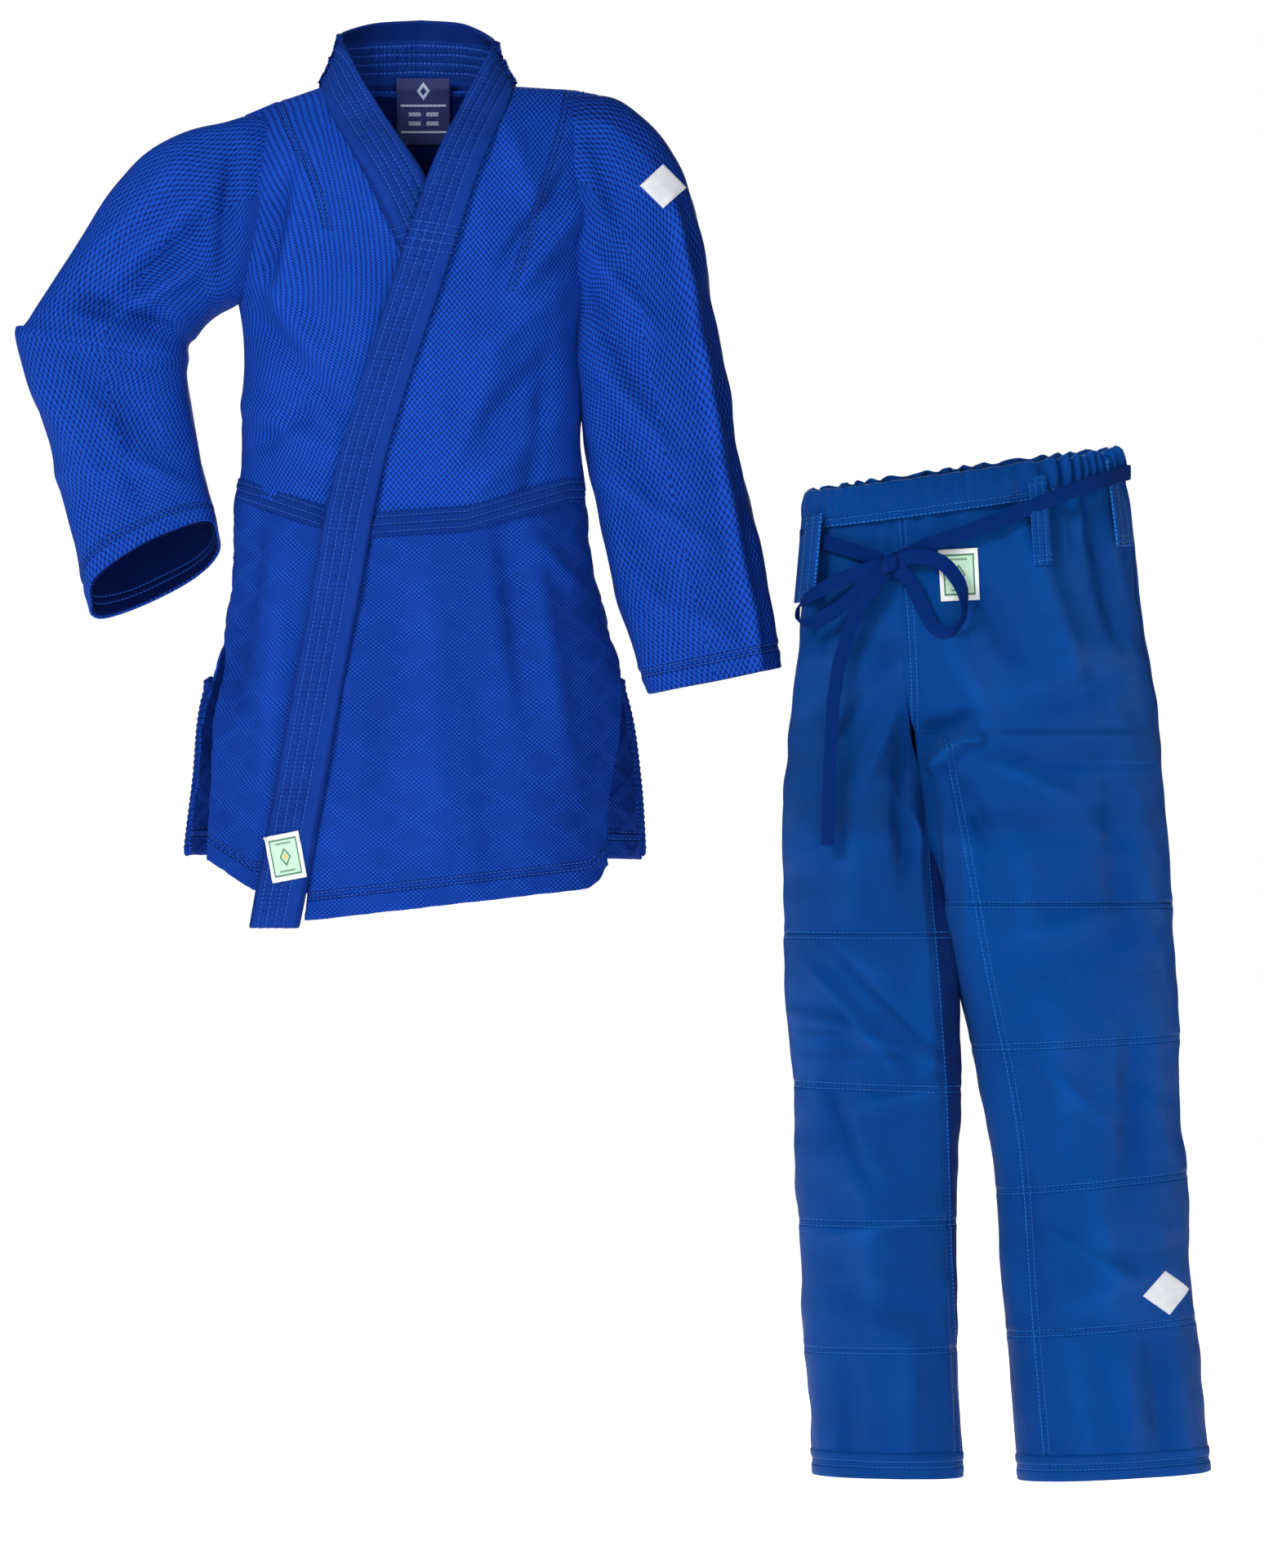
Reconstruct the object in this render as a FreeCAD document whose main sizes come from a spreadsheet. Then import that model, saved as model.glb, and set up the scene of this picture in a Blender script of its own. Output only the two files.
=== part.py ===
import FreeCAD, Part
import math
import os

import Sketcher
from FreeCAD import Vector

# Judo uniform: a wrap jacket and drawstring trousers, both held out in their worn shape.
# Millimetres. +Z is up, -Y is the front, and the origin is the middle of the jacket's neck
# opening. Left and right are the wearer's: the wearer's right side lies towards -X.

doc = FreeCAD.newDocument("judo_uniform")

# ---------------------------------------------------------------- driving dimensions
SIZES = {
    # cloth and seams
    "jacket_cloth": 3.0,
    "trouser_cloth": 1.5,
    "seam_gap": 0.2,
    "layer_gap": 0.3,
    "wrap_depth": 14.0,
    "joint_gap": 0.4,
    # neck, collar and lapels
    "neck_width": 88.5,
    "neck_depth": 66.5,
    "collar_thickness": 6.0,
    "collar_rise": 42.0,
    "collar_foot": 20.0,
    "collar_reach": 45.0,
    "lapel_half_width": 24.0,
    "lapel_thickness": 5.0,
    "neck_point_x": 12.0,
    "neck_point_depth": 112.0,
    # lapel centre line: distance from the middle and height, neck to hem
    "lapel_neck_x": 64.0,
    "lapel_neck_level": -14.0,
    "lapel_chest_x": 24.0,
    "lapel_chest_level": -136.0,
    "lapel_cross_x": 24.0,
    "lapel_cross_level": -272.0,
    "lapel_waist_x": 70.0,
    "lapel_waist_level": -446.0,
    "lapel_hem_x": 138.0,
    "lapel_hem_level": -840.0,
    # waist seam and its band
    "waist_level": -412.0,
    "band_height": 22.0,
    "band_thickness": 1.5,
    # vents and hems of the skirt
    "vent_level": -600.0,
    "vent_binding": 16.0,
    "front_side_x": 200.0,
    "front_corner_x": 190.0,
    "front_corner_level": -770.0,
    "front_hem_x": 174.0,
    "front_hem_level": -806.0,
    "inner_hem_level": -803.0,
    "back_hem_level": -776.0,
    # opening line of the outer front
    "flap_share": 0.8,
    "flap_top_level": -290.0,
    "flap_gap": 3.0,
    # armholes and sleeves
    "left_armhole_x": 156.0,
    "left_armhole_level": -116.0,
    "left_armhole_half": 100.0,
    "right_armhole_x": -180.0,
    "right_armhole_level": -142.0,
    "right_armhole_half": 90.0,
    "sleeve_depth": 50.0,
    "cuff_depth": 44.0,
    "stub_length": 66.0,
    "cuff_facing": 38.0,
    "facing_thickness": 1.2,
    "elbow_x": -310.0,
    "elbow_level": -268.0,
    "elbow_radius": 87.0,
    "elbow_reach": 200.0,
    # trousers
    "waist_x": 538.0,
    "trouser_waist_level": -400.0,
    "waist_half": 154.0,
    "waist_tilt": -8.0,
    "waist_depth": 86.0,
    "waistband_height": 34.0,
    "front_seam_x": 476.0,
    "back_seam_x": 549.0,
    "right_hip_x": 430.0,
    "left_hip_x": 616.0,
    "hip_level": -640.0,
    "right_hip_radius": 68.0,
    "left_hip_radius": 120.0,
    "knee_top_level": -840.0,
    "knee_foot_level": -1256.0,
    "hem_band": 20.0,
    # straps, drawstring and labels
    "belt_loop_width": 13.0,
    "belt_loop_length": 76.0,
    "belt_loop_stand": 15.0,
    "belt_loop_cloth": 2.5,
    "cord_diameter": 3.0,
    "knot_width": 9.0,
    "knot_depth": 6.0,
    "knot_height": 8.0,
    "label_thickness": 0.9,
}

# Levels of the torso: height, reach to the wearer's right and left, front and back depth.
TORSO = {
    "crown": (2.0, 92.0, 92.0, 46.0, 62.0),
    "shoulder": (-24.0, 131.0, 146.0, 54.0, 68.0),
    "yoke": (-56.0, 170.0, 148.0, 68.0, 80.0),
    "chest": (-150.0, 172.0, 149.0, 88.0, 96.0),
    "armpit": (-232.0, 171.0, 150.0, 92.0, 102.0),
    "rib": (-296.0, 169.0, 152.0, 94.0, 104.0),
    "skirt_end": (-850.0, 222.0, 243.0, 104.0, 112.0),
}
TORSO_FIELDS = ("level", "right", "left", "front", "back")
WRAP_SHARE = {"crown": 0.0, "shoulder": 0.5}

# Sleeve sections beyond the armhole: centre x, height, half width, turn about Y. The
# sections named in BESIDE_TORSO count x from the torso's left side at their own height.
LEFT_SLEEVE = {
    "left_shoulder": (208.0, -168.0, 76.0, -49.0),
    "left_biceps": (230.0, -284.0, 72.0, 0.0),
    "left_elbow": (80.289, -416.0, 75.0, 0.0),
    "left_cuff": (89.737, -602.0, 67.0, -11.0),
}
BESIDE_TORSO = ("left_elbow", "left_cuff")
RIGHT_SLEEVE = {
    "right_shoulder": (-242.0, -172.0, 79.0, 57.0),
    "right_elbow": (-310.0, -268.0, 83.0, 8.3),
    "right_forearm": (-288.0, -376.0, 70.5, -6.5),
    "right_cuff": (-260.0, -492.0, 73.0, -26.0),
}
SLEEVE_FIELDS = ("x", "level", "half", "turn")

# Trouser sections: centre x, height, half width, half depth.
HIPS = {
    "upper_hip": (545.0, -544.0, 171.0, 95.0),
    "lower_hip": (549.0, -620.0, 180.0, 88.0),
    "crotch": (549.0, -688.0, 150.0, 38.0),
}
RIGHT_LEG = {
    "right_groin": (428.0, -560.0, 50.0, 40.0),
    "right_thigh": (429.0, -664.0, 65.0, 56.0),
    "right_upper": (428.0, -736.0, 66.0, 58.0),
    "right_knee": (444.5, -856.0, 79.5, 60.0),
    "right_calf": (452.0, -1056.0, 80.0, 60.0),
    "right_shin": (455.0, -1216.0, 75.0, 56.0),
    "right_hem": (463.5, -1384.0, 73.5, 54.0),
}
LEFT_LEG = {
    "left_groin": (616.0, -560.0, 100.0, 60.0),
    "left_thigh": (616.0, -664.0, 117.5, 72.0),
    "left_upper": (618.0, -736.0, 119.5, 72.0),
    "left_knee": (636.0, -856.0, 108.0, 69.0),
    "left_calf": (659.0, -1056.0, 95.0, 64.0),
    "left_shin": (672.0, -1216.0, 94.0, 61.0),
    "left_hem": (681.0, -1384.0, 101.0, 60.0),
}
LEG_FIELDS = ("x", "level", "half", "depth")

# Drawstring routes, point by point. The tape runs round the waist, meets in a bow and
# leaves one long tail.
CORDS = {
    "drawstring_right_run": [
        (384, 23, -460), (377, 0, -460), (384, -26, -463), (399, -46, -467),
        (416, -60, -472), (436, -73, -479), (454.5, -86, -485.5),
    ],
    "drawstring_left_run": [
        (469.5, -86.5, -485.5), (494, -90, -471), (534, -92.5, -457), (574, -90, -443),
        (609, -85, -430), (640, -75, -416), (667, -58, -406), (689.5, -34, -400),
        (699, -6, -397), (694.5, 22, -396),
    ],
    "bow_loop_right": [
        (455.5, -89, -492.5), (440, -84, -508), (424, -77, -524), (404, -66, -538),
        (386, -51, -547), (374, -38, -544), (374, -35, -531), (384, -43, -521),
        (400, -55, -512), (419, -67, -503), (438, -78, -496), (456, -84, -490),
    ],
    "bow_loop_left": [
        (469, -88.5, -489), (481, -94, -483), (497, -98, -483), (513, -100, -489),
        (526, -100, -503), (534, -99.5, -523), (532, -99.5, -545), (520, -99, -557),
        (506, -98, -552), (496, -96, -535), (486, -93, -515), (477, -90, -501),
        (467, -88.5, -494.5),
    ],
    "drawstring_tail": [
        (459, -90, -495), (446, -88, -511), (430, -78, -538), (416, -70, -577),
        (408, -66, -623), (405, -65, -672), (403, -64, -720), (402, -64, -764),
    ],
}
CORD_BEND_SHARE = 0.45

sheet = doc.addObject("Spreadsheet::Sheet", "Sizes")


def fill_sheet():
    """Put every driving dimension in the sheet, one alias to a cell."""
    rows = dict(SIZES)
    for table, fields in (
        (TORSO, TORSO_FIELDS),
        (LEFT_SLEEVE, SLEEVE_FIELDS),
        (RIGHT_SLEEVE, SLEEVE_FIELDS),
        (HIPS, LEG_FIELDS),
        (RIGHT_LEG, LEG_FIELDS),
        (LEFT_LEG, LEG_FIELDS),
    ):
        for station, values in table.items():
            for field, value in zip(fields, values):
                rows[f"{station}_{field}"] = value
    for row, (alias, value) in enumerate(rows.items(), 1):
        sheet.set(f"A{row}", alias)
        sheet.set(f"B{row}", str(value))
        sheet.setAlias(f"B{row}", alias)
    doc.recompute()


def cell(alias):
    """Expression for one named size."""
    return f"Sizes.{alias}"


def number(expression):
    """Value of an expression, for the first guess of a sketch."""
    return float(sheet.evalExpression(expression))


fill_sheet()
nodes = []


# ---------------------------------------------------------------- building blocks
def name_node(shape_object, label):
    """Mark an object as one piece of the uniform."""
    shape_object.Label = label
    nodes.append(shape_object)
    return shape_object


def oval(name, x, z, half, depth, turn="0"):
    """Ellipse round a limb: half its width, half its depth, turned about the Y axis."""
    ring = doc.addObject("Part::Ellipse", name)
    ring.setExpression("MajorRadius", half)
    ring.setExpression("MinorRadius", depth)
    place = f"placement(vector({x}; 0; {z}); rotation(vector(0; 1; 0); {turn}))"
    ring.setExpression("Placement", place)
    return ring


def loft(name, rings):
    """Closed solid with straight sides through the rings."""
    solid = doc.addObject("Part::Loft", name)
    solid.Sections = rings
    solid.Solid = True
    solid.Ruled = True
    return solid


def join(name, shapes):
    """One solid from several that meet."""
    whole = doc.addObject("Part::MultiFuse", name)
    whole.Shapes = shapes
    whole.Refine = False
    return whole


def cut(name, base, tool):
    """The base without the tool."""
    rest = doc.addObject("Part::Cut", name)
    rest.Base = base
    rest.Tool = tool
    rest.Refine = False
    return rest


def overlap(name, shapes):
    """What all the shapes share."""
    shared = doc.addObject("Part::MultiCommon", name)
    shared.Shapes = shapes
    shared.Refine = False
    return shared


def prism(name, points, start="0", reach="-400"):
    """Outline in the XZ plane, pushed along Y from start by reach."""
    flat = doc.addObject("Sketcher::SketchObject", f"{name}_outline")
    places = [Vector(number(x), number(z), 0) for x, z in points]
    count = len(places)
    for index in range(count):
        flat.addGeometry(Part.LineSegment(places[index], places[(index + 1) % count]), False)
    for index in range(count):
        following = (index + 1) % count
        flat.addConstraint(Sketcher.Constraint("Coincident", index, 2, following, 1))
    for index, (x, z) in enumerate(points):
        for kind, expression in (("DistanceX", x), ("DistanceY", z)):
            rule = Sketcher.Constraint(kind, -1, 1, index, 1, number(expression))
            place = flat.addConstraint(rule)
            flat.setExpression(f"Constraints[{place}]", expression)
    upright = "rotation(vector(1; 0; 0); 90)"
    flat.setExpression("Placement", f"placement(vector(0; {start}; 0); {upright})")
    solid = doc.addObject("Part::Extrusion", name)
    solid.Base = flat
    solid.DirMode = "Custom"
    solid.Dir = Vector(0, math.copysign(1, float(reach)), 0)
    solid.LengthFwd = abs(float(reach))
    solid.Solid = True
    return solid


def front(name, points):
    """Prism over the front half, just short of the side seams."""
    return prism(name, points, start=f"-{cell('seam_gap')}/2", reach="-400")


def rear(name, points):
    """Prism over the back half, just short of the side seams."""
    return prism(name, points, start=f"{cell('seam_gap')}/2", reach="400")


def both(name, points):
    """Prism right through, front and back."""
    return prism(name, points, start="400", reach="-800")


# ---------------------------------------------------------------- jacket surfaces
def torso_rings(name, face, wrap, grow):
    """Rings of the torso for one face (front or back), grown by some thickness."""
    rings = []
    for station in TORSO:
        right, left = cell(f"{station}_right"), cell(f"{station}_left")
        share = WRAP_SHARE.get(station, 1.0) * wrap
        half = f"({left}+{right})/2+{grow}"
        depth = f"{cell(f'{station}_{face}')}+{share}*{cell('wrap_depth')}+{grow}"
        level = cell(f"{station}_level")
        if station in ("crown", "skirt_end"):
            level = f"{level}+({grow})"
        rings.append(oval(f"{name}_{station}", f"({left}-{right})/2", level, half, depth))
    return rings


def armhole_stub(name, side, grow):
    """Short tube from inside the torso out past the armhole, where it is trimmed."""
    x = cell(f"{side}_armhole_x")
    level = cell(f"{side}_armhole_level")
    half = f"{cell(f'{side}_armhole_half')}+{grow}"
    depth = f"{cell('sleeve_depth')}+{grow}"
    inwards = "-" if side == "left" else "+"
    turn = "-90" if side == "left" else "90"
    inner_x = f"{x}{inwards}{cell('stub_length')}"
    outwards = "+" if side == "left" else "-"
    outer_x = f"{x}{outwards}(6-({grow}))"
    rings = [
        oval(f"{name}_outer_ring", outer_x, level, half, depth, turn),
        oval(f"{name}_inner_ring", inner_x, level, half, depth, turn),
    ]
    return loft(name, rings)


def torso_solid(name, face, wrap, grow):
    """Torso with its two armhole stubs, grown by some thickness."""
    body = loft(f"{name}_body", torso_rings(name, face, wrap, grow))
    left = armhole_stub(f"{name}_left_stub", "left", grow)
    right = armhole_stub(f"{name}_right_stub", "right", grow)
    return join(name, [body, left, right])


def torso_layer(name, face, wrap, outside, inside):
    """One layer of cloth over the torso, between two distances from the nominal face."""
    outer = torso_solid(f"{name}_outer", face, wrap, outside)
    inner = torso_solid(f"{name}_inner", face, wrap, inside)
    return cut(name, outer, inner)


def neck_hole():
    """The round neck opening, down to the foot of the collar."""
    ring = oval(
        "neck_hole_ring",
        "0",
        f"-{cell('collar_foot')}-{cell('layer_gap')}",
        f"{cell('neck_width')}+{cell('layer_gap')}",
        f"{cell('neck_depth')}+{cell('layer_gap')}",
    )
    solid = doc.addObject("Part::Extrusion", "neck_hole")
    solid.Base = ring
    solid.DirMode = "Custom"
    solid.Dir = Vector(0, 0, 1)
    solid.LengthFwd = 100
    solid.Solid = True
    return solid


def hinge_x(level):
    """Where the outer front's opening line stands at one height."""
    share = cell("flap_share")

    def at(station):
        right, left = cell(f"{station}_right"), cell(f"{station}_left")
        return f"(({left}-{right})/2+{share}*({left}+{right})/2)"

    run = f"({cell('skirt_end_level')}-{cell('rib_level')})"
    slope = f"(({at('skirt_end')}-{at('rib')})/{run})"
    return f"({at('rib')}+({level}-{cell('rib_level')})*{slope})"


def hinge_slope():
    """How far the opening line moves sideways for each unit of height."""
    top, foot = cell("rib_level"), cell("skirt_end_level")
    return f"(({hinge_x(foot)}-{hinge_x(top)})/({foot}-{top}))"


SIDE = "300"
LAPEL_POINTS = ("neck", "chest", "cross", "waist", "hem")
# the centre line starts on the wearer's own side and crosses over below the chest
LAPEL_SIDE = {"neck": 1, "chest": 1, "cross": -1, "waist": -1, "hem": -1}


def lapel_x(point, hand, shift="0"):
    """Centre of a lapel at one of its points; hand is 1 for the left lapel, -1 for right."""
    sign = LAPEL_SIDE[point] * hand
    return f"({sign}*{cell(f'lapel_{point}_x')}+({shift}))"


def lapel_edge(hand, shift, first=0, last=5):
    """Points beside a lapel's centre line, from the neck to the hem."""
    return [
        (lapel_x(point, hand, shift), cell(f"lapel_{point}_level"))
        for point in LAPEL_POINTS[first:last]
    ]


def lapel_outline(hand):
    """Whole band of one lapel, neck to hem."""
    width = cell("lapel_half_width")
    start_level = f"-{cell('collar_foot')}-{cell('layer_gap')}"
    right = lapel_edge(hand, width)
    left = lapel_edge(hand, f"-{width}")
    right[0] = (right[0][0], start_level)
    left[0] = (left[0][0], start_level)
    return right + left[::-1]


def flap_line(offset):
    """The flap's top edge, square to its opening line: two points, left side first."""
    top = f"({cell('flap_top_level')}+({offset}))"
    x = hinge_x(cell("flap_top_level"))
    slope = hinge_slope()
    reach = 320
    far = (f"{x}-{reach}", f"{top}+{reach}*{slope}")
    near = (f"{x}+{reach}", f"{top}-{reach}*{slope}")
    return far, near


def above_flap(name):
    """Everything above the flap's top edge."""
    far, near = flap_line("0")
    return both(name, [far, near, (near[0], "100"), (far[0], "100")])


def below_flap(name):
    """Everything below the flap's top edge and on its side of the opening line."""
    far, near = flap_line(f"-{cell('flap_gap')}")
    foot = "-900"
    gap = f"{cell('joint_gap')}/2"
    top = cell("flap_top_level")
    edge_top = (f"{hinge_x(top)}-{gap}", f"{top}-{cell('flap_gap')}")
    edge_foot = (f"{hinge_x(foot)}-{gap}", foot)
    return both(name, [far, edge_top, edge_foot, (far[0], foot)])


def beside_flap(name):
    """The strip between the opening line and the side seam."""
    foot = "-900"
    gap = f"{cell('joint_gap')}/2"
    top = cell("flap_top_level")
    return both(
        name,
        [
            (f"{hinge_x(top)}+{gap}", f"{top}-{cell('seam_gap')}"),
            (SIDE, f"{top}-{cell('seam_gap')}-({SIDE}-{hinge_x(top)})*{hinge_slope()}"),
            (SIDE, foot),
            (f"{hinge_x(foot)}+{gap}", foot),
        ],
    )


# ---------------------------------------------------------------- jacket
def jacket_layers():
    """The cloth layers that the jacket's panels are cut from."""
    cloth = cell("jacket_cloth")
    gap = cell("layer_gap")
    lapel = f"({gap}+{cell('lapel_thickness')})"
    band = f"({gap}+{cell('band_thickness')})"
    lining = f"-({cloth}+{gap})"
    lining_in = f"-({cloth}+{gap}+{cell('facing_thickness')})"
    layers = {
        "back": torso_layer("back_cloth", "back", 0, "0", f"-{cloth}"),
        "inner": torso_layer("inner_cloth", "front", 0, "0", f"-{cloth}"),
        "outer": torso_layer("outer_cloth", "front", 1, "0", f"-{cloth}"),
        "back_band": torso_layer("back_band_cloth", "back", 0, band, gap),
        "inner_band": torso_layer("inner_band_cloth", "front", 0, band, gap),
        "outer_band": torso_layer("outer_band_cloth", "front", 1, band, gap),
        "inner_lapel": torso_layer("inner_lapel_cloth", "front", 0, lapel, gap),
        "outer_lapel": torso_layer("outer_lapel_cloth", "front", 1, lapel, gap),
        "inner_lining": torso_layer("inner_lining_cloth", "front", 0, lining, lining_in),
        "outer_lining": torso_layer("outer_lining_cloth", "front", 1, lining, lining_in),
        "back_lining": torso_layer("back_lining_cloth", "back", 0, lining, lining_in),
    }
    return layers


def armhole_span():
    """Edges of the torso at the armholes, just inside the sleeves."""
    gap = cell("joint_gap")
    right = f"({cell('right_armhole_x')}+{gap}/2)"
    left = f"({cell('left_armhole_x')}-{gap}/2)"
    return right, left


def make_back(layers, hole):
    """Upper back, back skirt, waist band and the bound edges of the vents."""
    right, left = armhole_span()
    waist = cell("waist_level")
    hem = cell("back_hem_level")
    gap = cell("seam_gap")
    arm = cell("rib_level")
    upper = rear("back_upper_area", [
        (right, "100"), (left, "100"), (left, arm), (SIDE, arm), (SIDE, waist),
        (f"-{SIDE}", waist), (f"-{SIDE}", arm), (right, arm),
    ])
    raw = overlap("back_upper_raw", [layers["back"], upper])
    name_node(cut("back_panel", raw, hole), "back_panel")
    skirt_top = f"{waist}-{gap}"
    lower = rear("back_skirt_area", [
        (f"-{SIDE}", skirt_top), (SIDE, skirt_top), (SIDE, hem), (f"-{SIDE}", hem),
    ])
    name_node(overlap("skirt_back", [layers["back"], lower]), "skirt_back")
    half = f"{cell('band_height')}/2"
    strip = rear("back_band_area", [
        (f"-{SIDE}", f"{waist}+{half}"), (SIDE, f"{waist}+{half}"),
        (SIDE, f"{waist}-{half}"), (f"-{SIDE}", f"{waist}-{half}"),
    ])
    name_node(overlap("waist_band_back", [layers["back_band"], strip]), "waist_band_back")
    for side, near, far in (("right", f"-{SIDE}", "-60"), ("left", "60", SIDE)):
        area = prism(
            f"{side}_vent_area",
            [(near, cell("vent_level")), (far, cell("vent_level")), (far, hem), (near, hem)],
            start=f"{gap}/2",
            reach="400",
        )
        edge = doc.addObject("Part::Box", f"{side}_vent_reach")
        edge.Length = 700
        edge.Height = 400
        edge.setExpression("Width", f"{cell('vent_binding')}*1.5")
        edge.setExpression("Placement", f"placement(vector(-350; {gap}/2; -900); rotation(0; 0; 0))")
        label = f"vent_binding_{side}"
        name_node(overlap(label, [layers["back_band"], area, edge]), label)


def inner_waist(shift):
    """Waist seam on the inner front, from the side seam to the lapel."""
    side = cell("waist_level")
    dip = cell("lapel_waist_level")
    edge = f"-{cell('lapel_waist_x')}-{cell('lapel_half_width')}"
    return [
        (f"-{SIDE}", f"{side}+8+({shift})"),
        (edge, f"{dip}+6+({shift})"),
        (lapel_x("waist", -1, f"{cell('lapel_half_width')}-3"), f"{dip}+({shift})"),
    ]


def outer_waist(shift):
    """Waist seam on the outer front, from the lapel to the side seam."""
    side = cell("waist_level")
    dip = cell("lapel_waist_level")
    return [
        (lapel_x("waist", 1, f"-{cell('lapel_half_width')}+3"), f"{dip}-8+({shift})"),
        (f"{cell('lapel_half_width')}-{cell('lapel_waist_x')}", f"{dip}-8+({shift})"),
        (f"{cell('left_armhole_x')}-12", f"{side}-4+({shift})"),
        (SIDE, f"{side}+12+({shift})"),
    ]


def neck_cut():
    """The V between the lapels, through the front only."""
    foot = f"-{cell('neck_point_depth')}"
    width = cell("neck_width")
    return front("neck_cut", [(f"-{width}", "20"), (width, "20"), (cell("neck_point_x"), foot)])


def make_inner_front(layers, hole):
    """Right front, which lies underneath: panel, skirt, band, lapel and lining."""
    right, _ = armhole_span()
    arm = cell("rib_level")
    edge = lapel_edge(-1, f"{cell('lapel_half_width')}-3", last=4)
    edge[0] = (edge[0][0], "100")
    gap = cell("seam_gap")
    panel_area = front(
        "right_front_area",
        [(right, "100")] + edge[:3] + inner_waist("0")[::-1] + [(f"-{SIDE}", arm), (right, arm)],
    )
    raw = overlap("right_front_raw", [layers["inner"], panel_area])
    name_node(cut("right_front_panel", raw, hole), "right_front_panel")
    hem = cell("inner_hem_level")
    side_foot = f"({cell('front_corner_x')}+16)"
    skirt_area = front(
        "right_skirt_area",
        inner_waist(f"-{gap}")
        + [
            (f"{cell('lapel_hem_x')}+{cell('lapel_half_width')}-9", hem),
            (f"-{cell('lapel_hem_x')}-14", f"{hem}-12"),
            (f"-{side_foot}", f"{cell('front_corner_level')}-10"),
            (f"-{cell('front_side_x')}", cell("vent_level")),
            (f"-{SIDE}", cell("vent_level")),
        ],
    )
    name_node(overlap("skirt_right_front", [layers["inner"], skirt_area]), "skirt_right_front")
    half = f"{cell('band_height')}/2"
    end = f"-{cell('lapel_waist_x')}-{cell('lapel_half_width')}+20"
    upper = inner_waist(half)[:2]
    lower = inner_waist(f"-{half}")[:2]
    upper[1] = (end, upper[1][1])
    lower[1] = (end, lower[1][1])
    band_area = front("right_band_area", upper + lower[::-1])
    label = "waist_band_right_front"
    name_node(overlap(label, [layers["inner_band"], band_area]), label)
    outline = lapel_outline(-1)
    below = f"{hem}+4"
    outline[4] = (f"{cell('lapel_hem_x')}+{cell('lapel_half_width')}-6", below)
    outline[5] = (f"{cell('lapel_hem_x')}-{cell('lapel_half_width')}-6", below)
    lapel_area = front("right_lapel_area", outline)
    name_node(overlap("lapel_right", [layers["inner_lapel"], lapel_area]), "lapel_right")
    lining_area = front("right_lining_area", lining_outline(-1))
    label = "shoulder_lining_right"
    name_node(overlap(label, [layers["inner_lining"], lining_area]), label)


def lining_outline(hand):
    """Shoulder lining: from the neck side down the chest to the armhole."""
    inside = cell("lapel_neck_x")
    width = cell("lapel_half_width")
    armhole = cell("left_armhole_x") if hand > 0 else f"-({cell('right_armhole_x')})"
    points = [
        (f"{inside}+{width}+8", "-48"),
        (f"{armhole}-32", "-66"),
        (f"{armhole}-32", "-196"),
        (f"{inside}+{width}/2", "-196"),
    ]
    return [(f"{hand}*({x})", z) for x, z in points]


def make_outer_front(layers, hole):
    """Left front, which lies on top: fixed yoke and side, and the flap that opens."""
    _, left = armhole_span()
    arm = cell("rib_level")
    edge = lapel_edge(1, f"-{cell('lapel_half_width')}+3", last=4)
    edge[0] = (edge[0][0], "100")
    area = front(
        "left_front_area",
        edge[:3] + outer_waist("0") + [(SIDE, arm), (left, arm), (left, "100")],
    )
    raw = overlap("left_front_raw", [layers["outer"], area])
    whole = cut("left_front_whole", raw, hole)
    upper = above_flap("yoke_part")
    name_node(overlap("left_front_yoke", [whole, upper]), "left_front_yoke")
    lower = below_flap("flap_part")
    name_node(overlap("left_front_panel", [whole, lower]), "left_front_panel")
    side_part = beside_flap("side_part")
    gap = cell("seam_gap")
    skirt_area = front(
        "left_skirt_area",
        outer_waist(f"-{gap}")
        + [
            (SIDE, cell("vent_level")),
            (cell("front_side_x"), cell("vent_level")),
            (cell("front_corner_x"), cell("front_corner_level")),
            (cell("front_hem_x"), cell("front_hem_level")),
            (f"-{cell('lapel_hem_x')}+{cell('lapel_half_width')}", cell("lapel_hem_level")),
            (f"-{cell('lapel_hem_x')}-{cell('lapel_half_width')}+3", cell("lapel_hem_level")),
        ],
    )
    skirt = overlap("left_skirt_whole", [layers["outer"], skirt_area])
    name_node(overlap("skirt_left_front", [skirt, lower]), "skirt_left_front")
    side_area = front("left_side_area", [
        ("0", "100"), (SIDE, "100"), (SIDE, cell("vent_level")),
        (cell("front_side_x"), cell("vent_level")),
        (f"{cell('front_corner_x')}", f"{cell('front_corner_level')}+8"), ("0", f"{cell('front_corner_level')}+8"),
    ])
    side_layer = overlap("left_side_panel", [layers["outer"], side_part, side_area])
    name_node(side_layer, "left_side_panel")
    half = f"{cell('band_height')}/2"
    band_area = front("left_band_area", outer_waist(half) + outer_waist(f"-{half}")[::-1])
    clear = both("left_band_clear", [
        (f"{cell('lapel_half_width')}-{cell('lapel_waist_x')}+1", "100"),
        (f"{hinge_x('100')}-4", "100"),
        (f"{hinge_x('-900')}-4", "-900"),
        (f"{cell('lapel_half_width')}-{cell('lapel_waist_x')}+1", "-900"),
    ])
    label = "waist_band_left_front"
    name_node(overlap(label, [layers["outer_band"], band_area, clear]), label)
    lapel_area = front("left_lapel_area", lapel_outline(1))
    lapel = overlap("left_lapel_whole", [layers["outer_lapel"], lapel_area])
    name_node(overlap("lapel_left_upper", [lapel, upper]), "lapel_left_upper")
    name_node(overlap("lapel_left_lower", [lapel, lower]), "lapel_left_lower")
    lining_area = front("left_lining_area", lining_outline(1))
    label = "shoulder_lining_left"
    name_node(overlap(label, [layers["outer_lining"], lining_area]), label)


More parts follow.
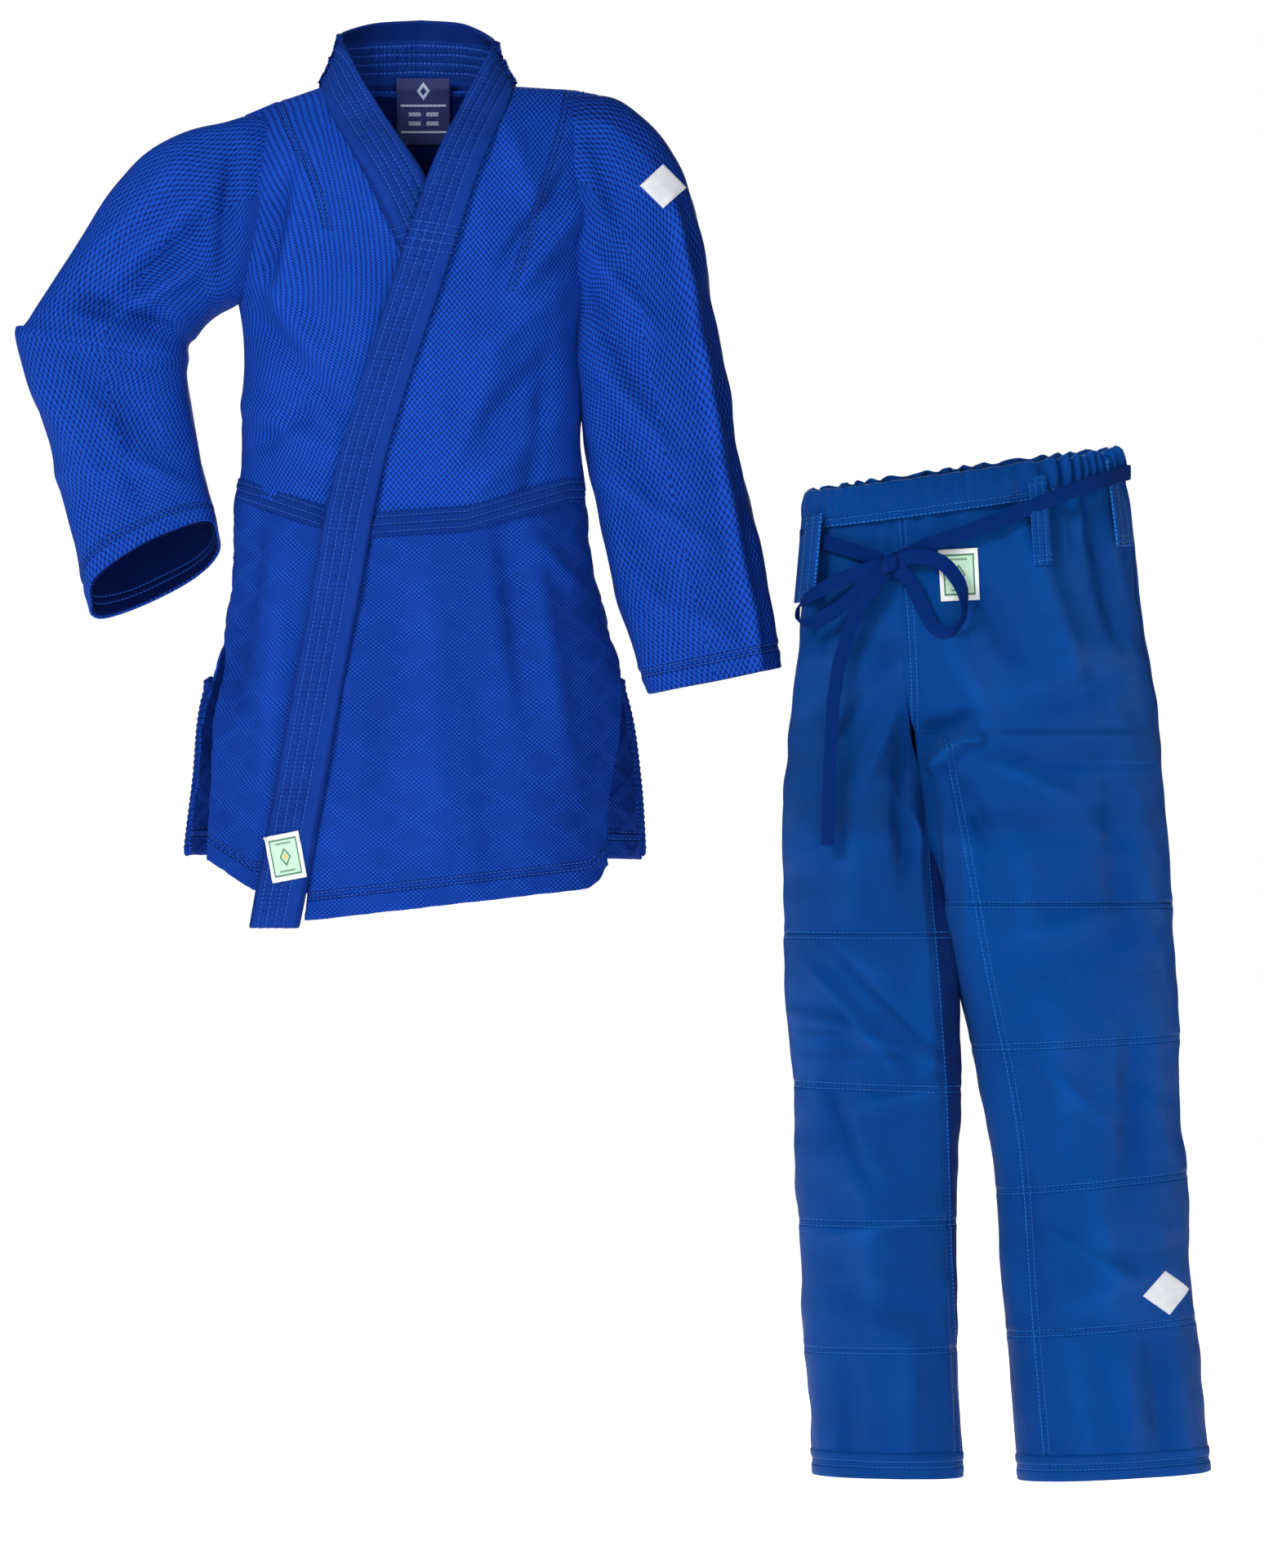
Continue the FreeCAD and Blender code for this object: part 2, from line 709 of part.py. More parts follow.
def make_collar():
    """Stiff collar band round the back and sides of the neck."""
    solids = []
    for name, grow in (("collar_outside", "0"), ("collar_inside", f"-{cell('collar_thickness')}")):
        ring = oval(
            f"{name}_ring",
            "0",
            f"-{cell('collar_foot')}",
            f"{cell('neck_width')}+({grow})",
            f"{cell('neck_depth')}+({grow})",
        )
        solid = doc.addObject("Part::Extrusion", name)
        solid.Base = ring
        solid.DirMode = "Custom"
        solid.Dir = Vector(0, 0, 1)
        solid.setExpression("LengthFwd", f"{cell('collar_foot')}+{cell('collar_rise')}")
        solid.Solid = True
        solids.append(solid)
    ring = cut("collar_ring", solids[0], solids[1])
    slope = doc.addObject("Sketcher::SketchObject", "collar_side_outline")
    points = [
        (f"-{cell('collar_reach')}", f"-{cell('collar_foot')}-1"),
        ("100", f"-{cell('collar_foot')}-1"),
        ("100", f"{cell('collar_rise')}+1"),
        ("0", f"{cell('collar_rise')}+1"),
        (f"-{cell('collar_reach')}", "2"),
    ]
    places = [Vector(number(y), number(z), 0) for y, z in points]
    count = len(places)
    for index in range(count):
        slope.addGeometry(Part.LineSegment(places[index], places[(index + 1) % count]), False)
    for index in range(count):
        slope.addConstraint(Sketcher.Constraint("Coincident", index, 2, (index + 1) % count, 1))
    for index, (y, z) in enumerate(points):
        for kind, expression in (("DistanceX", y), ("DistanceY", z)):
            rule = Sketcher.Constraint(kind, -1, 1, index, 1, number(expression))
            place = slope.addConstraint(rule)
            slope.setExpression(f"Constraints[{place}]", expression)
    turn = FreeCAD.Rotation(Vector(0, 1, 0), Vector(0, 0, 1), Vector(1, 0, 0), "ZXY")
    slope.Placement = FreeCAD.Placement(Vector(0, 0, 0), turn)
    side = doc.addObject("Part::Extrusion", "collar_side")
    side.Base = slope
    side.DirMode = "Custom"
    side.Dir = Vector(1, 0, 0)
    side.LengthFwd = 200
    side.LengthRev = 200
    side.Solid = True
    name_node(overlap("collar", [ring, side]), "collar")


def make_size_label(layers):
    """Label inside the back of the neck."""
    width, height = 22.0, 20.0
    centre = -46.0
    area = rear("size_label_area", [
        (f"-{width}", f"{centre}+{height}"), (f"{width}", f"{centre}+{height}"),
        (f"{width}", f"{centre}-{height}"), (f"-{width}", f"{centre}-{height}"),
    ])
    name_node(overlap("size_label", [layers["back_lining"], area]), "size_label")


def make_lapel_label():
    """Woven label at the foot of the outer lapel."""
    gap = cell("layer_gap")
    inside = f"({gap}+{cell('lapel_thickness')}+{gap})"
    outside = f"({gap}+{cell('lapel_thickness')}+{gap}+{cell('label_thickness')})"
    layer = torso_layer("lapel_label_cloth", "front", 1, outside, inside)
    centre = f"(-{cell('lapel_hem_x')}+5)"
    foot = f"({cell('lapel_hem_level')}+16)"
    area = front("lapel_label_area", [
        (f"{centre}-17", f"{foot}+44"), (f"{centre}+17", f"{foot}+44"),
        (f"{centre}+15", foot), (f"{centre}-19", foot),
    ])
    name_node(overlap("lapel_label", [layer, area]), "lapel_label")


# ---------------------------------------------------------------- sleeves
def torso_left_x(level):
    """How far the torso reaches to the wearer's left at one height below the ribs."""
    top, foot = cell("rib_level"), cell("skirt_end_level")
    flare = f"(({cell('skirt_end_left')}-{cell('rib_left')})/({top}-{foot}))"
    return f"({cell('rib_left')}+({top}-{level})*{flare})"


def sleeve_x(station):
    """Centre of one sleeve section across the body."""
    x = cell(f"{station}_x")
    if station in BESIDE_TORSO:
        return f"({torso_left_x(cell(f'{station}_level'))}+{x})"
    return x


def sleeve_solid(name, side, table, grow):
    """Sleeve from the armhole to the cuff, grown by some thickness."""
    turn = "-90" if side == "left" else "90"
    outwards = "+" if side == "left" else "-"
    start = f"{cell(f'{side}_armhole_x')}{outwards}{cell('joint_gap')}/2"
    rings = [
        oval(
            f"{name}_armhole",
            start,
            cell(f"{side}_armhole_level"),
            f"{cell(f'{side}_armhole_half')}+{grow}",
            f"{cell('sleeve_depth')}+{grow}",
            turn,
        )
    ]
    for station in table:
        depth = cell("cuff_depth") if station.endswith("cuff") else cell("sleeve_depth")
        rings.append(
            oval(
                f"{name}_{station}",
                sleeve_x(station),
                cell(f"{station}_level"),
                f"{cell(f'{station}_half')}+{grow}",
                f"{depth}+{grow}",
                cell(f"{station}_turn"),
            )
        )
    return loft(name, rings)


def sleeve_layer(name, side, table, outside, inside):
    """One layer of cloth round a sleeve."""
    outer = sleeve_solid(f"{name}_outer", side, table, outside)
    inner = sleeve_solid(f"{name}_inner", side, table, inside)
    return cut(name, outer, inner)


def cuff_area(name, station):
    """Slab across the sleeve's end, square to the cuff, as long as the facing."""
    slab = doc.addObject("Part::Box", name)
    slab.Length = 300
    slab.Width = 300
    slab.setExpression("Height", cell("cuff_facing"))
    x, z = sleeve_x(station), cell(f"{station}_level")
    turn = cell(f"{station}_turn")
    place = (
        f"placement(vector({x}; 0; {z}); rotation(vector(0; 1; 0); {turn}))"
        " * placement(vector(-150; -150; 0); rotation(0; 0; 0))"
    )
    slab.setExpression("Placement", place)
    return slab


def make_left_sleeve():
    """Left sleeve: tube, cuff facing and the embroidered patch below the shoulder."""
    cloth, gap = cell("jacket_cloth"), cell("layer_gap")
    tube = sleeve_layer("left_sleeve", "left", LEFT_SLEEVE, "0", f"-{cloth}")
    name_node(tube, "left_sleeve")
    lining = sleeve_layer(
        "left_facing_cloth", "left", LEFT_SLEEVE,
        f"-({cloth}+{gap})", f"-({cloth}+{gap}+{cell('facing_thickness')})",
    )
    area = cuff_area("left_cuff_area", "left_cuff")
    name_node(overlap("left_cuff_facing", [lining, area]), "left_cuff_facing")
    patch = sleeve_layer(
        "left_patch_cloth", "left", LEFT_SLEEVE, f"({gap}+{cell('label_thickness')})", gap
    )
    diamond = front("left_patch_area", [
        ("216", "-118"), ("242", "-92"), ("268", "-118"), ("242", "-144"),
    ])
    name_node(overlap("sleeve_patch", [patch, diamond]), "sleeve_patch")


def elbow_region(name, grow):
    """The part of the right sleeve above the elbow, rounded about the elbow's axis."""
    x, z = cell("elbow_x"), cell("elbow_level")
    reach = cell("elbow_reach")
    fall = f"{reach}*tan({cell('right_elbow_turn')}*1deg)"
    top = f"{z}+{reach}+{reach}"
    above = both(f"{name}_above", [
        (f"{x}-{reach}", f"{z}+{fall}-({grow})"), (f"{x}+{reach}", f"{z}-{fall}-({grow})"),
        (f"{x}+{reach}", top), (f"{x}-{reach}", top),
    ])
    knuckle = doc.addObject("Part::Cylinder", f"{name}_knuckle")
    knuckle.setExpression("Radius", f"{cell('elbow_radius')}+({grow})")
    knuckle.Height = 300
    place = f"placement(vector({x}; 150; {z}); rotation(vector(1; 0; 0); 90))"
    knuckle.setExpression("Placement", place)
    return join(name, [above, knuckle])


def make_right_sleeve():
    """Right sleeve in two parts that bend at the elbow, with its cuff facing."""
    cloth, gap = cell("jacket_cloth"), cell("layer_gap")
    tube = sleeve_layer("right_sleeve_cloth", "right", RIGHT_SLEEVE, "0", f"-{cloth}")
    upper = elbow_region("elbow_upper", "0")
    name_node(overlap("right_sleeve_upper", [tube, upper]), "right_sleeve_upper")
    limit = elbow_region("elbow_limit", cell("joint_gap"))
    name_node(cut("right_sleeve_lower", tube, limit), "right_sleeve_lower")
    lining = sleeve_layer(
        "right_facing_cloth", "right", RIGHT_SLEEVE,
        f"-({cloth}+{gap})", f"-({cloth}+{gap}+{cell('facing_thickness')})",
    )
    area = cuff_area("right_cuff_area", "right_cuff")
    name_node(overlap("right_cuff_facing", [lining, area]), "right_cuff_facing")


# ---------------------------------------------------------------- trousers
def hip_solid(name, grow):
    """Hips from the tilted waist down to the crotch, grown by some thickness."""
    rings = [
        oval(
            f"{name}_waist",
            cell("waist_x"),
            cell("trouser_waist_level"),
            f"{cell('waist_half')}+{grow}",
            f"{cell('waist_depth')}+{grow}",
            cell("waist_tilt"),
        )
    ]
    for station in HIPS:
        level = cell(f"{station}_level")
        if station == "crotch":
            level = f"{level}-({grow})"
        rings.append(
            oval(
                f"{name}_{station}",
                cell(f"{station}_x"),
                level,
                f"{cell(f'{station}_half')}+{grow}",
                f"{cell(f'{station}_depth')}+{grow}",
            )
        )
    return loft(name, rings)


def leg_solid(name, table, grow):
    """One leg from inside the hips to the hem, grown by some thickness."""
    rings = []
    for station in table:
        rings.append(
            oval(
                f"{name}_{station}",
                cell(f"{station}_x"),
                cell(f"{station}_level"),
                f"{cell(f'{station}_half')}+{grow}",
                f"{cell(f'{station}_depth')}+{grow}",
            )
        )
    return loft(name, rings)


def trouser_layer(name, outside, inside):
    """One layer of cloth over the hips and both legs."""
    solids = []
    for part, grow in (("outer", outside), ("inner", inside)):
        solids.append(
            join(
                f"{name}_{part}",
                [
                    hip_solid(f"{name}_{part}_hips", grow),
                    leg_solid(f"{name}_{part}_right", RIGHT_LEG, grow),
                    leg_solid(f"{name}_{part}_left", LEFT_LEG, grow),
                ],
            )
        )
    return cut(name, solids[0], solids[1])


def hip_region(name, grow):
    """The seat: all above the hip axes, and a round end about each of them."""
    level = cell("hip_level")
    above = both(f"{name}_above", [
        ("300", f"{level}-({grow})"), ("860", f"{level}-({grow})"), ("860", "-300"), ("300", "-300"),
    ])
    parts = [above]
    for side in ("right", "left"):
        round_end = doc.addObject("Part::Cylinder", f"{name}_{side}_end")
        round_end.setExpression("Radius", f"{cell(f'{side}_hip_radius')}+({grow})")
        round_end.Height = 300
        x = cell(f"{side}_hip_x")
        place = f"placement(vector({x}; 150; {level}); rotation(vector(1; 0; 0); 90))"
        round_end.setExpression("Placement", place)
        parts.append(round_end)
    return join(name, parts)


def make_seat(cloth_layer):
    """Seat panels, front and back, and the waistband casing."""
    seat = overlap("seat_cloth", [cloth_layer, hip_region("seat_region", "0")])
    gap = cell("seam_gap")
    for face, seam, maker in (("front", "front_seam_x", front), ("back", "back_seam_x", rear)):
        for side, near, far in (
            ("right", "300", f"{cell(seam)}-{gap}/2"),
            ("left", f"{cell(seam)}+{gap}/2", "860"),
        ):
            label = f"seat_{face}_{side}"
            area = maker(f"{label}_area", [
                (near, "-300"), (far, "-300"), (far, "-800"), (near, "-800"),
            ])
            name_node(overlap(label, [seat, area]), label)
    casing = hip_band("casing_cloth", f"({cell('layer_gap')}+{cell('trouser_cloth')})",
                      cell("layer_gap"))
    for face, maker in (("front", front), ("back", rear)):
        label = f"waistband_{face}"
        name_node(overlap(label, [casing, maker(f"{label}_area", waistband_outline())]), label)


def hip_band(name, outside, inside):
    """A layer over the hips alone."""
    return cut(name, hip_solid(f"{name}_outer", outside), hip_solid(f"{name}_inner", inside))


def waistband_outline():
    """Strip along the tilted waist edge."""
    x, z = cell("waist_x"), cell("trouser_waist_level")
    rise = f"tan(-{cell('waist_tilt')})*200"
    height = cell("waistband_height")
    return [
        (f"{x}-200", f"{z}-{rise}+40"), (f"{x}+200", f"{z}+{rise}+40"),
        (f"{x}+200", f"{z}+{rise}-{height}"), (f"{x}-200", f"{z}-{rise}-{height}"),
    ]


def make_legs(cloth_layer):
    """Leg panels, knee patches, hem bands and the patch on the shin."""
    legs = cut("leg_cloth", cloth_layer, hip_region("leg_limit", cell("joint_gap")))
    gap = cell("layer_gap")
    patch_cloth = trouser_layer("knee_cloth", f"({gap}+{cell('facing_thickness')})", gap)
    lining = f"-({cell('trouser_cloth')}+{gap})"
    lining_in = f"-({cell('trouser_cloth')}+{gap}+{cell('facing_thickness')})"
    hem_cloth = trouser_layer("hem_cloth", lining, lining_in)
    for side in ("right", "left"):
        boundary = side_boundary(side)
        areas = {
            "front": front(f"{side}_front_area", boundary),
            "back": rear(f"{side}_back_area", boundary),
        }
        for face, area in areas.items():
            label = f"{side}_leg_{face}"
            name_node(overlap(label, [legs, area]), label)
        span = ("300", "860")
        knee = both(f"{side}_knee_area", clipped(span, cell("knee_top_level"),
                                                 cell("knee_foot_level")))
        label = f"{side}_knee_patch"
        name_node(overlap(label, [patch_cloth, knee, areas["front"]]), label)
        hem = cell(f"{side}_hem_level")
        band = both(f"{side}_hem_area", clipped(span, f"{hem}+{cell('hem_band')}", hem))
        ring = overlap(f"{side}_hem_ring", [hem_cloth, band])
        side_of_legs = both(f"{side}_hem_side", boundary)
        label = f"{side}_leg_hem"
        name_node(overlap(label, [ring, side_of_legs]), label)
    mark_cloth = trouser_layer("leg_mark_cloth", f"({gap}+{cell('label_thickness')})", gap)
    diamond = front("leg_patch_area", [
        ("708", "-1284"), ("734", "-1258.5"), ("760", "-1284"), ("734", "-1310"),
    ])
    name_node(overlap("leg_patch", [mark_cloth, diamond]), "leg_patch")


def clipped(span, top, foot):
    """Rectangle from a span of x and two heights."""
    near, far = span
    return [(near, top), (far, top), (far, foot), (near, foot)]


def between_legs(station):
    """Middle of the gap between the two legs at one level."""
    right = f"{cell(f'right_{station}_x')}+{cell(f'right_{station}_half')}"
    left = f"{cell(f'left_{station}_x')}-{cell(f'left_{station}_half')}"
    return f"(({right}+{left})/2)"


def side_boundary(side):
    """Outline that holds one leg and stays clear of the other."""
    gap = cell("seam_gap")
    shift = f"-{gap}" if side == "right" else f"+{gap}"
    far = "300" if side == "right" else "860"
    middle = between_legs("upper")
    top, foot = f"{cell('hip_level')}+40", f"{cell('right_hem_level')}-60"
    line = [(f"{middle}{shift}", top)]
    for station in ("upper", "knee", "calf"):
        line.append((f"{between_legs(station)}{shift}", cell(f"right_{station}_level")))
    line.append((f"{between_legs('hem')}{shift}", foot))
    return [(far, top)] + line + [(far, foot)]


def make_trouser_label():
    """Woven label on the left front of the seat."""
    gap = cell("layer_gap")
    layer = hip_band("trouser_label_cloth", f"({gap}+{cell('label_thickness')})", gap)
    area = front("trouser_label_area", [
        ("511", "-478"), ("549", "-474"), ("549", "-521"), ("512", "-524"),
    ])
    name_node(overlap("trouser_label", [layer, area]), "trouser_label")


def belt_loop(label, x, y, z, turn):
    """Strap standing off the cloth at a slot, closed at the top and the foot."""
    width, length = cell("belt_loop_width"), cell("belt_loop_length")
    stand, cloth = cell("belt_loop_stand"), cell("belt_loop_cloth")
    outer = doc.addObject("Part::Box", f"{label}_outer")
    outer.setExpression("Length", width)
    outer.setExpression("Width", stand)
    outer.setExpression("Height", length)
    slot = doc.addObject("Part::Box", f"{label}_slot")
    slot.setExpression("Length", f"{width}+2")
    slot.setExpression("Width", f"{stand}-{cloth}")
    slot.setExpression("Height", f"{length}-4*{cloth}")
    frame = f"placement(vector({x}; {y}; {z}); rotation(vector(0; 0; 1); {turn}))"
    shift = f" * placement(vector(-{width}/2; -{stand}; -{length}/2); rotation(0; 0; 0))"
    inner_shift = (
        f" * placement(vector(-{width}/2-1; -{stand}+{cloth}; -{length}/2+2*{cloth});"
        " rotation(0; 0; 0))"
    )
    outer.setExpression("Placement", frame + shift)
    slot.setExpression("Placement", frame + inner_shift)
    return cut(f"{label}_strap", outer, slot)


def make_belt_loops():
    """Straps at the two sides and on the left front, trimmed to the hips."""
    for label, x, y, z, turn in (
        ("belt_loop_right", 383.0, 0.0, -482.0, -90.0),
        ("belt_loop_front", 608.0, -76.5, -446.0, 15.0),
        ("belt_loop_left", 692.0, 0.0, -414.0, 90.0),
    ):
        strap = belt_loop(label, x, y, z, turn)
        limit = hip_solid(f"{label}_limit", f"({cell('layer_gap')}+{cell('trouser_cloth')}"
                                            f"+{cell('layer_gap')})")
        name_node(cut(label, strap, limit), label)


# ---------------------------------------------------------------- drawstring
def cord_path(points):
    """Straight runs joined by tangent arcs, and the radius of each arc."""
    places = [Vector(*point) for point in points]
    edges = []
    radii = []
    start = places[0]
    for before, corner, after in zip(places, places[1:], places[2:]):
        incoming = (corner - before).normalize()
        outgoing = (after - corner).normalize()
        half_turn = incoming.getAngle(outgoing) / 2
        shorter = min((corner - before).Length, (after - corner).Length)
        trim = CORD_BEND_SHARE * shorter
        radius = trim / math.tan(half_turn)
        radii.append(radius)
        enter = corner - incoming * trim
        leave = corner + outgoing * trim
        towards = (outgoing - incoming).normalize()
        centre = corner + towards * (radius / math.cos(half_turn))
        middle = centre - towards * radius
        edges.append(Part.LineSegment(start, enter).toShape())
        edges.append(Part.Arc(enter, middle, leave).toShape())
        start = leave
    edges.append(Part.LineSegment(start, places[-1]).toShape())
    return Part.Wire(edges), radii


def make_cord(label):
    """Round cord along its route."""
    diameter = number(cell("cord_diameter"))
    path, radii = cord_path(CORDS[label])
    first = path.Edges[0]
    heading = first.tangentAt(first.FirstParameter)
    ring = Part.Wire(Part.makeCircle(diameter / 2, Vector(*CORDS[label][0]), heading))
    tube = path.makePipeShell([ring], True, True)
    cord = doc.addObject("Part::Feature", label)
    cord.Shape = tube
    cord.Placement = FreeCAD.Placement()
    name_node(cord, label)
    ideal = math.pi * diameter**2 / 4 * path.Length
    print(f"{label}: length {path.Length:.1f}, radii {min(radii):.1f} to {max(radii):.1f}, "
          f"volume {tube.Volume / ideal:.4f} of section times length")


def make_knot():
    """Knot of the bow."""
    knot = doc.addObject("Part::Ellipsoid", "drawstring_knot")
    knot.setExpression("Radius1", cell("knot_height"))
    knot.setExpression("Radius2", cell("knot_width"))
    knot.setExpression("Radius3", cell("knot_depth"))
    knot.Placement = FreeCAD.Placement(Vector(462, -87, -489), FreeCAD.Rotation())
    name_node(knot, "drawstring_knot")


# ---------------------------------------------------------------- assembly
def build():
    """Make every piece."""
    layers = jacket_layers()
    hole = join("neck_opening", [neck_hole(), neck_cut()])
    make_back(layers, hole)
    make_inner_front(layers, hole)
    make_outer_front(layers, hole)
    make_collar()
    make_size_label(layers)
    make_lapel_label()
    make_left_sleeve()
    make_right_sleeve()
    cloth = trouser_layer("trouser_cloth_layer", "0", f"-{cell('trouser_cloth')}")
    make_seat(cloth)
    make_legs(cloth)
    make_trouser_label()
    make_belt_loops()
    for label in CORDS:
        make_cord(label)
    make_knot()


def check():
    """Refuse a failed object or a bad shape."""
    for part in doc.Objects:
        if "Invalid" in part.State or "Error" in part.State:
            raise RuntimeError(f"{part.Label} did not build: {part.State}")
    for part in nodes:
        if part.Shape.isNull() or not part.Shape.isValid() or not part.Shape.Solids:
            raise RuntimeError(f"{part.Label} has no sound shape")


def export():
    """Write one file for each piece."""
    os.makedirs("parts", exist_ok=True)
    for part in nodes:
        part.Shape.exportStep(f"parts/{part.Label}.step")


build()
doc.recompute()
check()
export()
print(f"{len(nodes)} pieces")
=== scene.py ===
import logging
import math
from dataclasses import dataclass, field
from enum import Enum

import bpy
import numpy as np
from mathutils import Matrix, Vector
from mathutils.bvhtree import BVHTree


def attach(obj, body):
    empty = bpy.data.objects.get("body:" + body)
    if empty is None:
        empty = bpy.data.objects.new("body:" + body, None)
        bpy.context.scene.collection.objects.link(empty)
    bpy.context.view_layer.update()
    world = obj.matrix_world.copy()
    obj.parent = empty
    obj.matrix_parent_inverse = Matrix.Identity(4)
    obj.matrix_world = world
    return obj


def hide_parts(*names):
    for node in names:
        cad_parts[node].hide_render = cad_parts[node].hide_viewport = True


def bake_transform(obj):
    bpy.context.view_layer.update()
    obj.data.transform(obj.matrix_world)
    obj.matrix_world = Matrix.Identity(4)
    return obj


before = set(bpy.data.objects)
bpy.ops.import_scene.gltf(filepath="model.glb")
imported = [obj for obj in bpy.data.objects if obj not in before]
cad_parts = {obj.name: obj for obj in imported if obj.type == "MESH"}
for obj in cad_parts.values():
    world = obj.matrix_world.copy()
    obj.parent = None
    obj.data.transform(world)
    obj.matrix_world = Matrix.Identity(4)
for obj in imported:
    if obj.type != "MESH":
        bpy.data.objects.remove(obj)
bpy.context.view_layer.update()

# Blue judo uniform: wrap jacket and drawstring trousers, in metres. +Z is up, -Y is the
# front, and the wearer's left is +X. The origin is the middle of the neck opening.

log = logging.getLogger("uniform")
Array = np.ndarray
Point = tuple[float, float]
Line = tuple[Point, ...]
Point3 = tuple[float, float, float]
FAR_AWAY = 1.0
WAVES = 5


class Face(Enum):
    """Side of the body that a cloth lies on; the value is the sign of y."""

    FRONT = -1.0
    BACK = 1.0


class Hand(Enum):
    """The wearer's hand; the value is the sign of x."""

    RIGHT = -1.0
    LEFT = 1.0

    def word(self) -> str:
        """The hand as it is written in the names of pieces and bodies."""
        return self.name.lower()


class Held(Enum):
    """How a piece of cloth is held; the value is a short word for it."""

    SMALL = ""
    HUNG = "hung"


class FarEnd(Enum):
    """Where the far end of a tape is; the value is a short word for it."""

    KNOT = "knot"
    BARE = "bare"


# ------------------------------------------------------------------ numbers and curves
def ease(value: Array, low: float, high: float) -> Array:
    """Smooth step: 0 below low, 1 above high and 3t² - 2t³ between.

    Args:
        value: where to read it.
        low: end of the zero part.
        high: start of the full part.

    Returns:
        Shares between 0 and 1.
    """
    share = np.clip((np.asarray(value, float) - low) / (high - low), 0, 1)
    return share * share * (3 - 2 * share)


def through(places: tuple, values: tuple, at: Array) -> Array:
    """Cubic curve through points: Hermite spans whose slopes are the differences beside them.

    Args:
        places: rising parameter of each point.
        values: number or point at each place.
        at: parameters to read, held to the ends.

    Returns:
        The curve's values at those parameters.
    """
    knots, heights = np.asarray(places, float), np.asarray(values, float)
    slopes = np.gradient(heights, knots, axis=0)
    at = np.asarray(at, float)
    index = np.clip(np.searchsorted(knots, at) - 1, 0, len(knots) - 2)
    step = knots[index + 1] - knots[index]
    t = np.clip((at - knots[index]) / step, 0, 1)
    if heights.ndim > 1:
        t, step = t[..., None], step[..., None]
    rise = t * t * (3 - 2 * t)
    lead = step * (t * (1 - t) ** 2 * slopes[index] - t * t * (1 - t) * slopes[index + 1])
    return heights[index] * (1 - rise) + heights[index + 1] * rise + lead


def level_curve(table: Line, z: Array) -> Array:
    """Value that changes with height, from a table of (height, value) that runs downwards."""
    places = [-row[0] for row in table]
    return through(places, [row[1] for row in table], -np.asarray(z, float))


def line_at(table: Line, x: Array) -> Array:
    """Height at x of a straight-sided line given as (x, height)."""
    return np.interp(x, [place for place, _ in table], [height for _, height in table])


def ripple(x: Array, z: Array, size: float, seed: int) -> Array:
    """Soft unevenness of hanging cloth: the mean of plane waves of unlike direction and phase.

    Args:
        x: across the cloth.
        z: along the cloth.
        size: usual distance between two crests.
        seed: picks the waves.

    Returns:
        Heights between -1 and 1.
    """
    draw = np.random.default_rng(seed)
    total = np.zeros(np.broadcast(x, z).shape)
    turns = draw.uniform(0, math.pi, WAVES)
    phases = draw.uniform(0, 6.28, WAVES)
    scales = draw.uniform(0.6, 1.5, WAVES)
    for turn, phase, scale in zip(turns, phases, scales):
        wave = 2 * math.pi / (size * scale)
        total = total + np.sin(wave * (x * math.cos(turn) + z * math.sin(turn)) + phase)
    return total / WAVES


@dataclass(frozen=True)
class Fold:
    """A soft ridge between two points of the front view; a negative height makes a valley."""

    start: Point
    end: Point
    width: float
    height: float

    def relief(self, x: Array, z: Array) -> Array:
        """Height times a bell across the fold, times a window that fades at both ends.

        Args:
            x: across the cloth.
            z: along the cloth.

        Returns:
            Heights in metres.
        """
        run_x, run_z = self.end[0] - self.start[0], self.end[1] - self.start[1]
        length = math.hypot(run_x, run_z)
        off_x, off_z = x - self.start[0], z - self.start[1]
        along = (off_x * run_x + off_z * run_z) / length**2
        across = (off_x * run_z - off_z * run_x) / length
        window = ease(along, -0.2, 0.3) * (1 - ease(along, 0.7, 1.2))
        return self.height * np.exp(-((across / self.width) ** 2)) * window


def folds_of(*rows: tuple[float, float, float, float, float, float]) -> tuple[Fold, ...]:
    """Folds from rows of start x and z, end x and z, width and height, all in millimetres.

    Args:
        *rows: one row for each fold.

    Returns:
        The folds.
    """
    metres = [[number / 1000 for number in row] for row in rows]
    return tuple(Fold((a, b), (c, d), width, height) for a, b, c, d, width, height in metres)


def relief(folds: tuple[Fold, ...], x: Array, z: Array) -> Array:
    """Sum of all the folds at each point.

    Args:
        folds: ridges and valleys.
        x: across the cloth.
        z: along the cloth.

    Returns:
        Heights in metres.
    """
    total = np.zeros(np.broadcast(x, z).shape)
    for fold in folds:
        total = total + fold.relief(x, z)
    return total


def unit(vectors: Array) -> Array:
    """Vectors divided by their own length."""
    return vectors / np.maximum(np.linalg.norm(vectors, axis=-1, keepdims=True), 1e-9)


# ------------------------------------------------------------------ cloth as a grid
@dataclass
class Patch:
    """Outer face of a piece of cloth as a grid, with the coordinates that its finish reads.

    points is rows x columns x 3. weave holds metres across and down the cloth. seam and
    seam_b hold the signed distance from a line of stitches and the distance along it. On a
    closed patch the last column repeats the first.
    """

    points: Array
    weave: Array
    outward: Array
    closed: bool = False
    seam: Array | None = None
    seam_b: Array | None = None
    # painted light and shade: shares added to the cloth's tone, lighter on crests and darker where shade
    # falls
    painted_shading: Array | None = None

    def normals(self) -> Array:
        """Unit normals on the outward side: the cross product of the grid's two directions.

        Returns:
            One normal for each point of the grid.
        """
        across = np.gradient(self.points, axis=1)
        if self.closed:
            ring = (self.points[:, 1] - self.points[:, -2]) / 2
            across[:, 0] = ring
            across[:, -1] = ring
        down = np.gradient(self.points, axis=0)
        normals = unit(np.cross(across, down))
        return normals * self.side(normals)

    def side(self, normals: Array | None = None) -> float:
        """1 if columns crossed with rows already points outward, and -1 if not.

        Args:
            normals: the cross products, if they are known already.

        Returns:
            The sign.
        """
        if normals is None:
            normals = np.cross(np.gradient(self.points, axis=1), np.gradient(self.points, axis=0))
        return 1.0 if np.sum(normals * self.outward) > 0 else -1.0


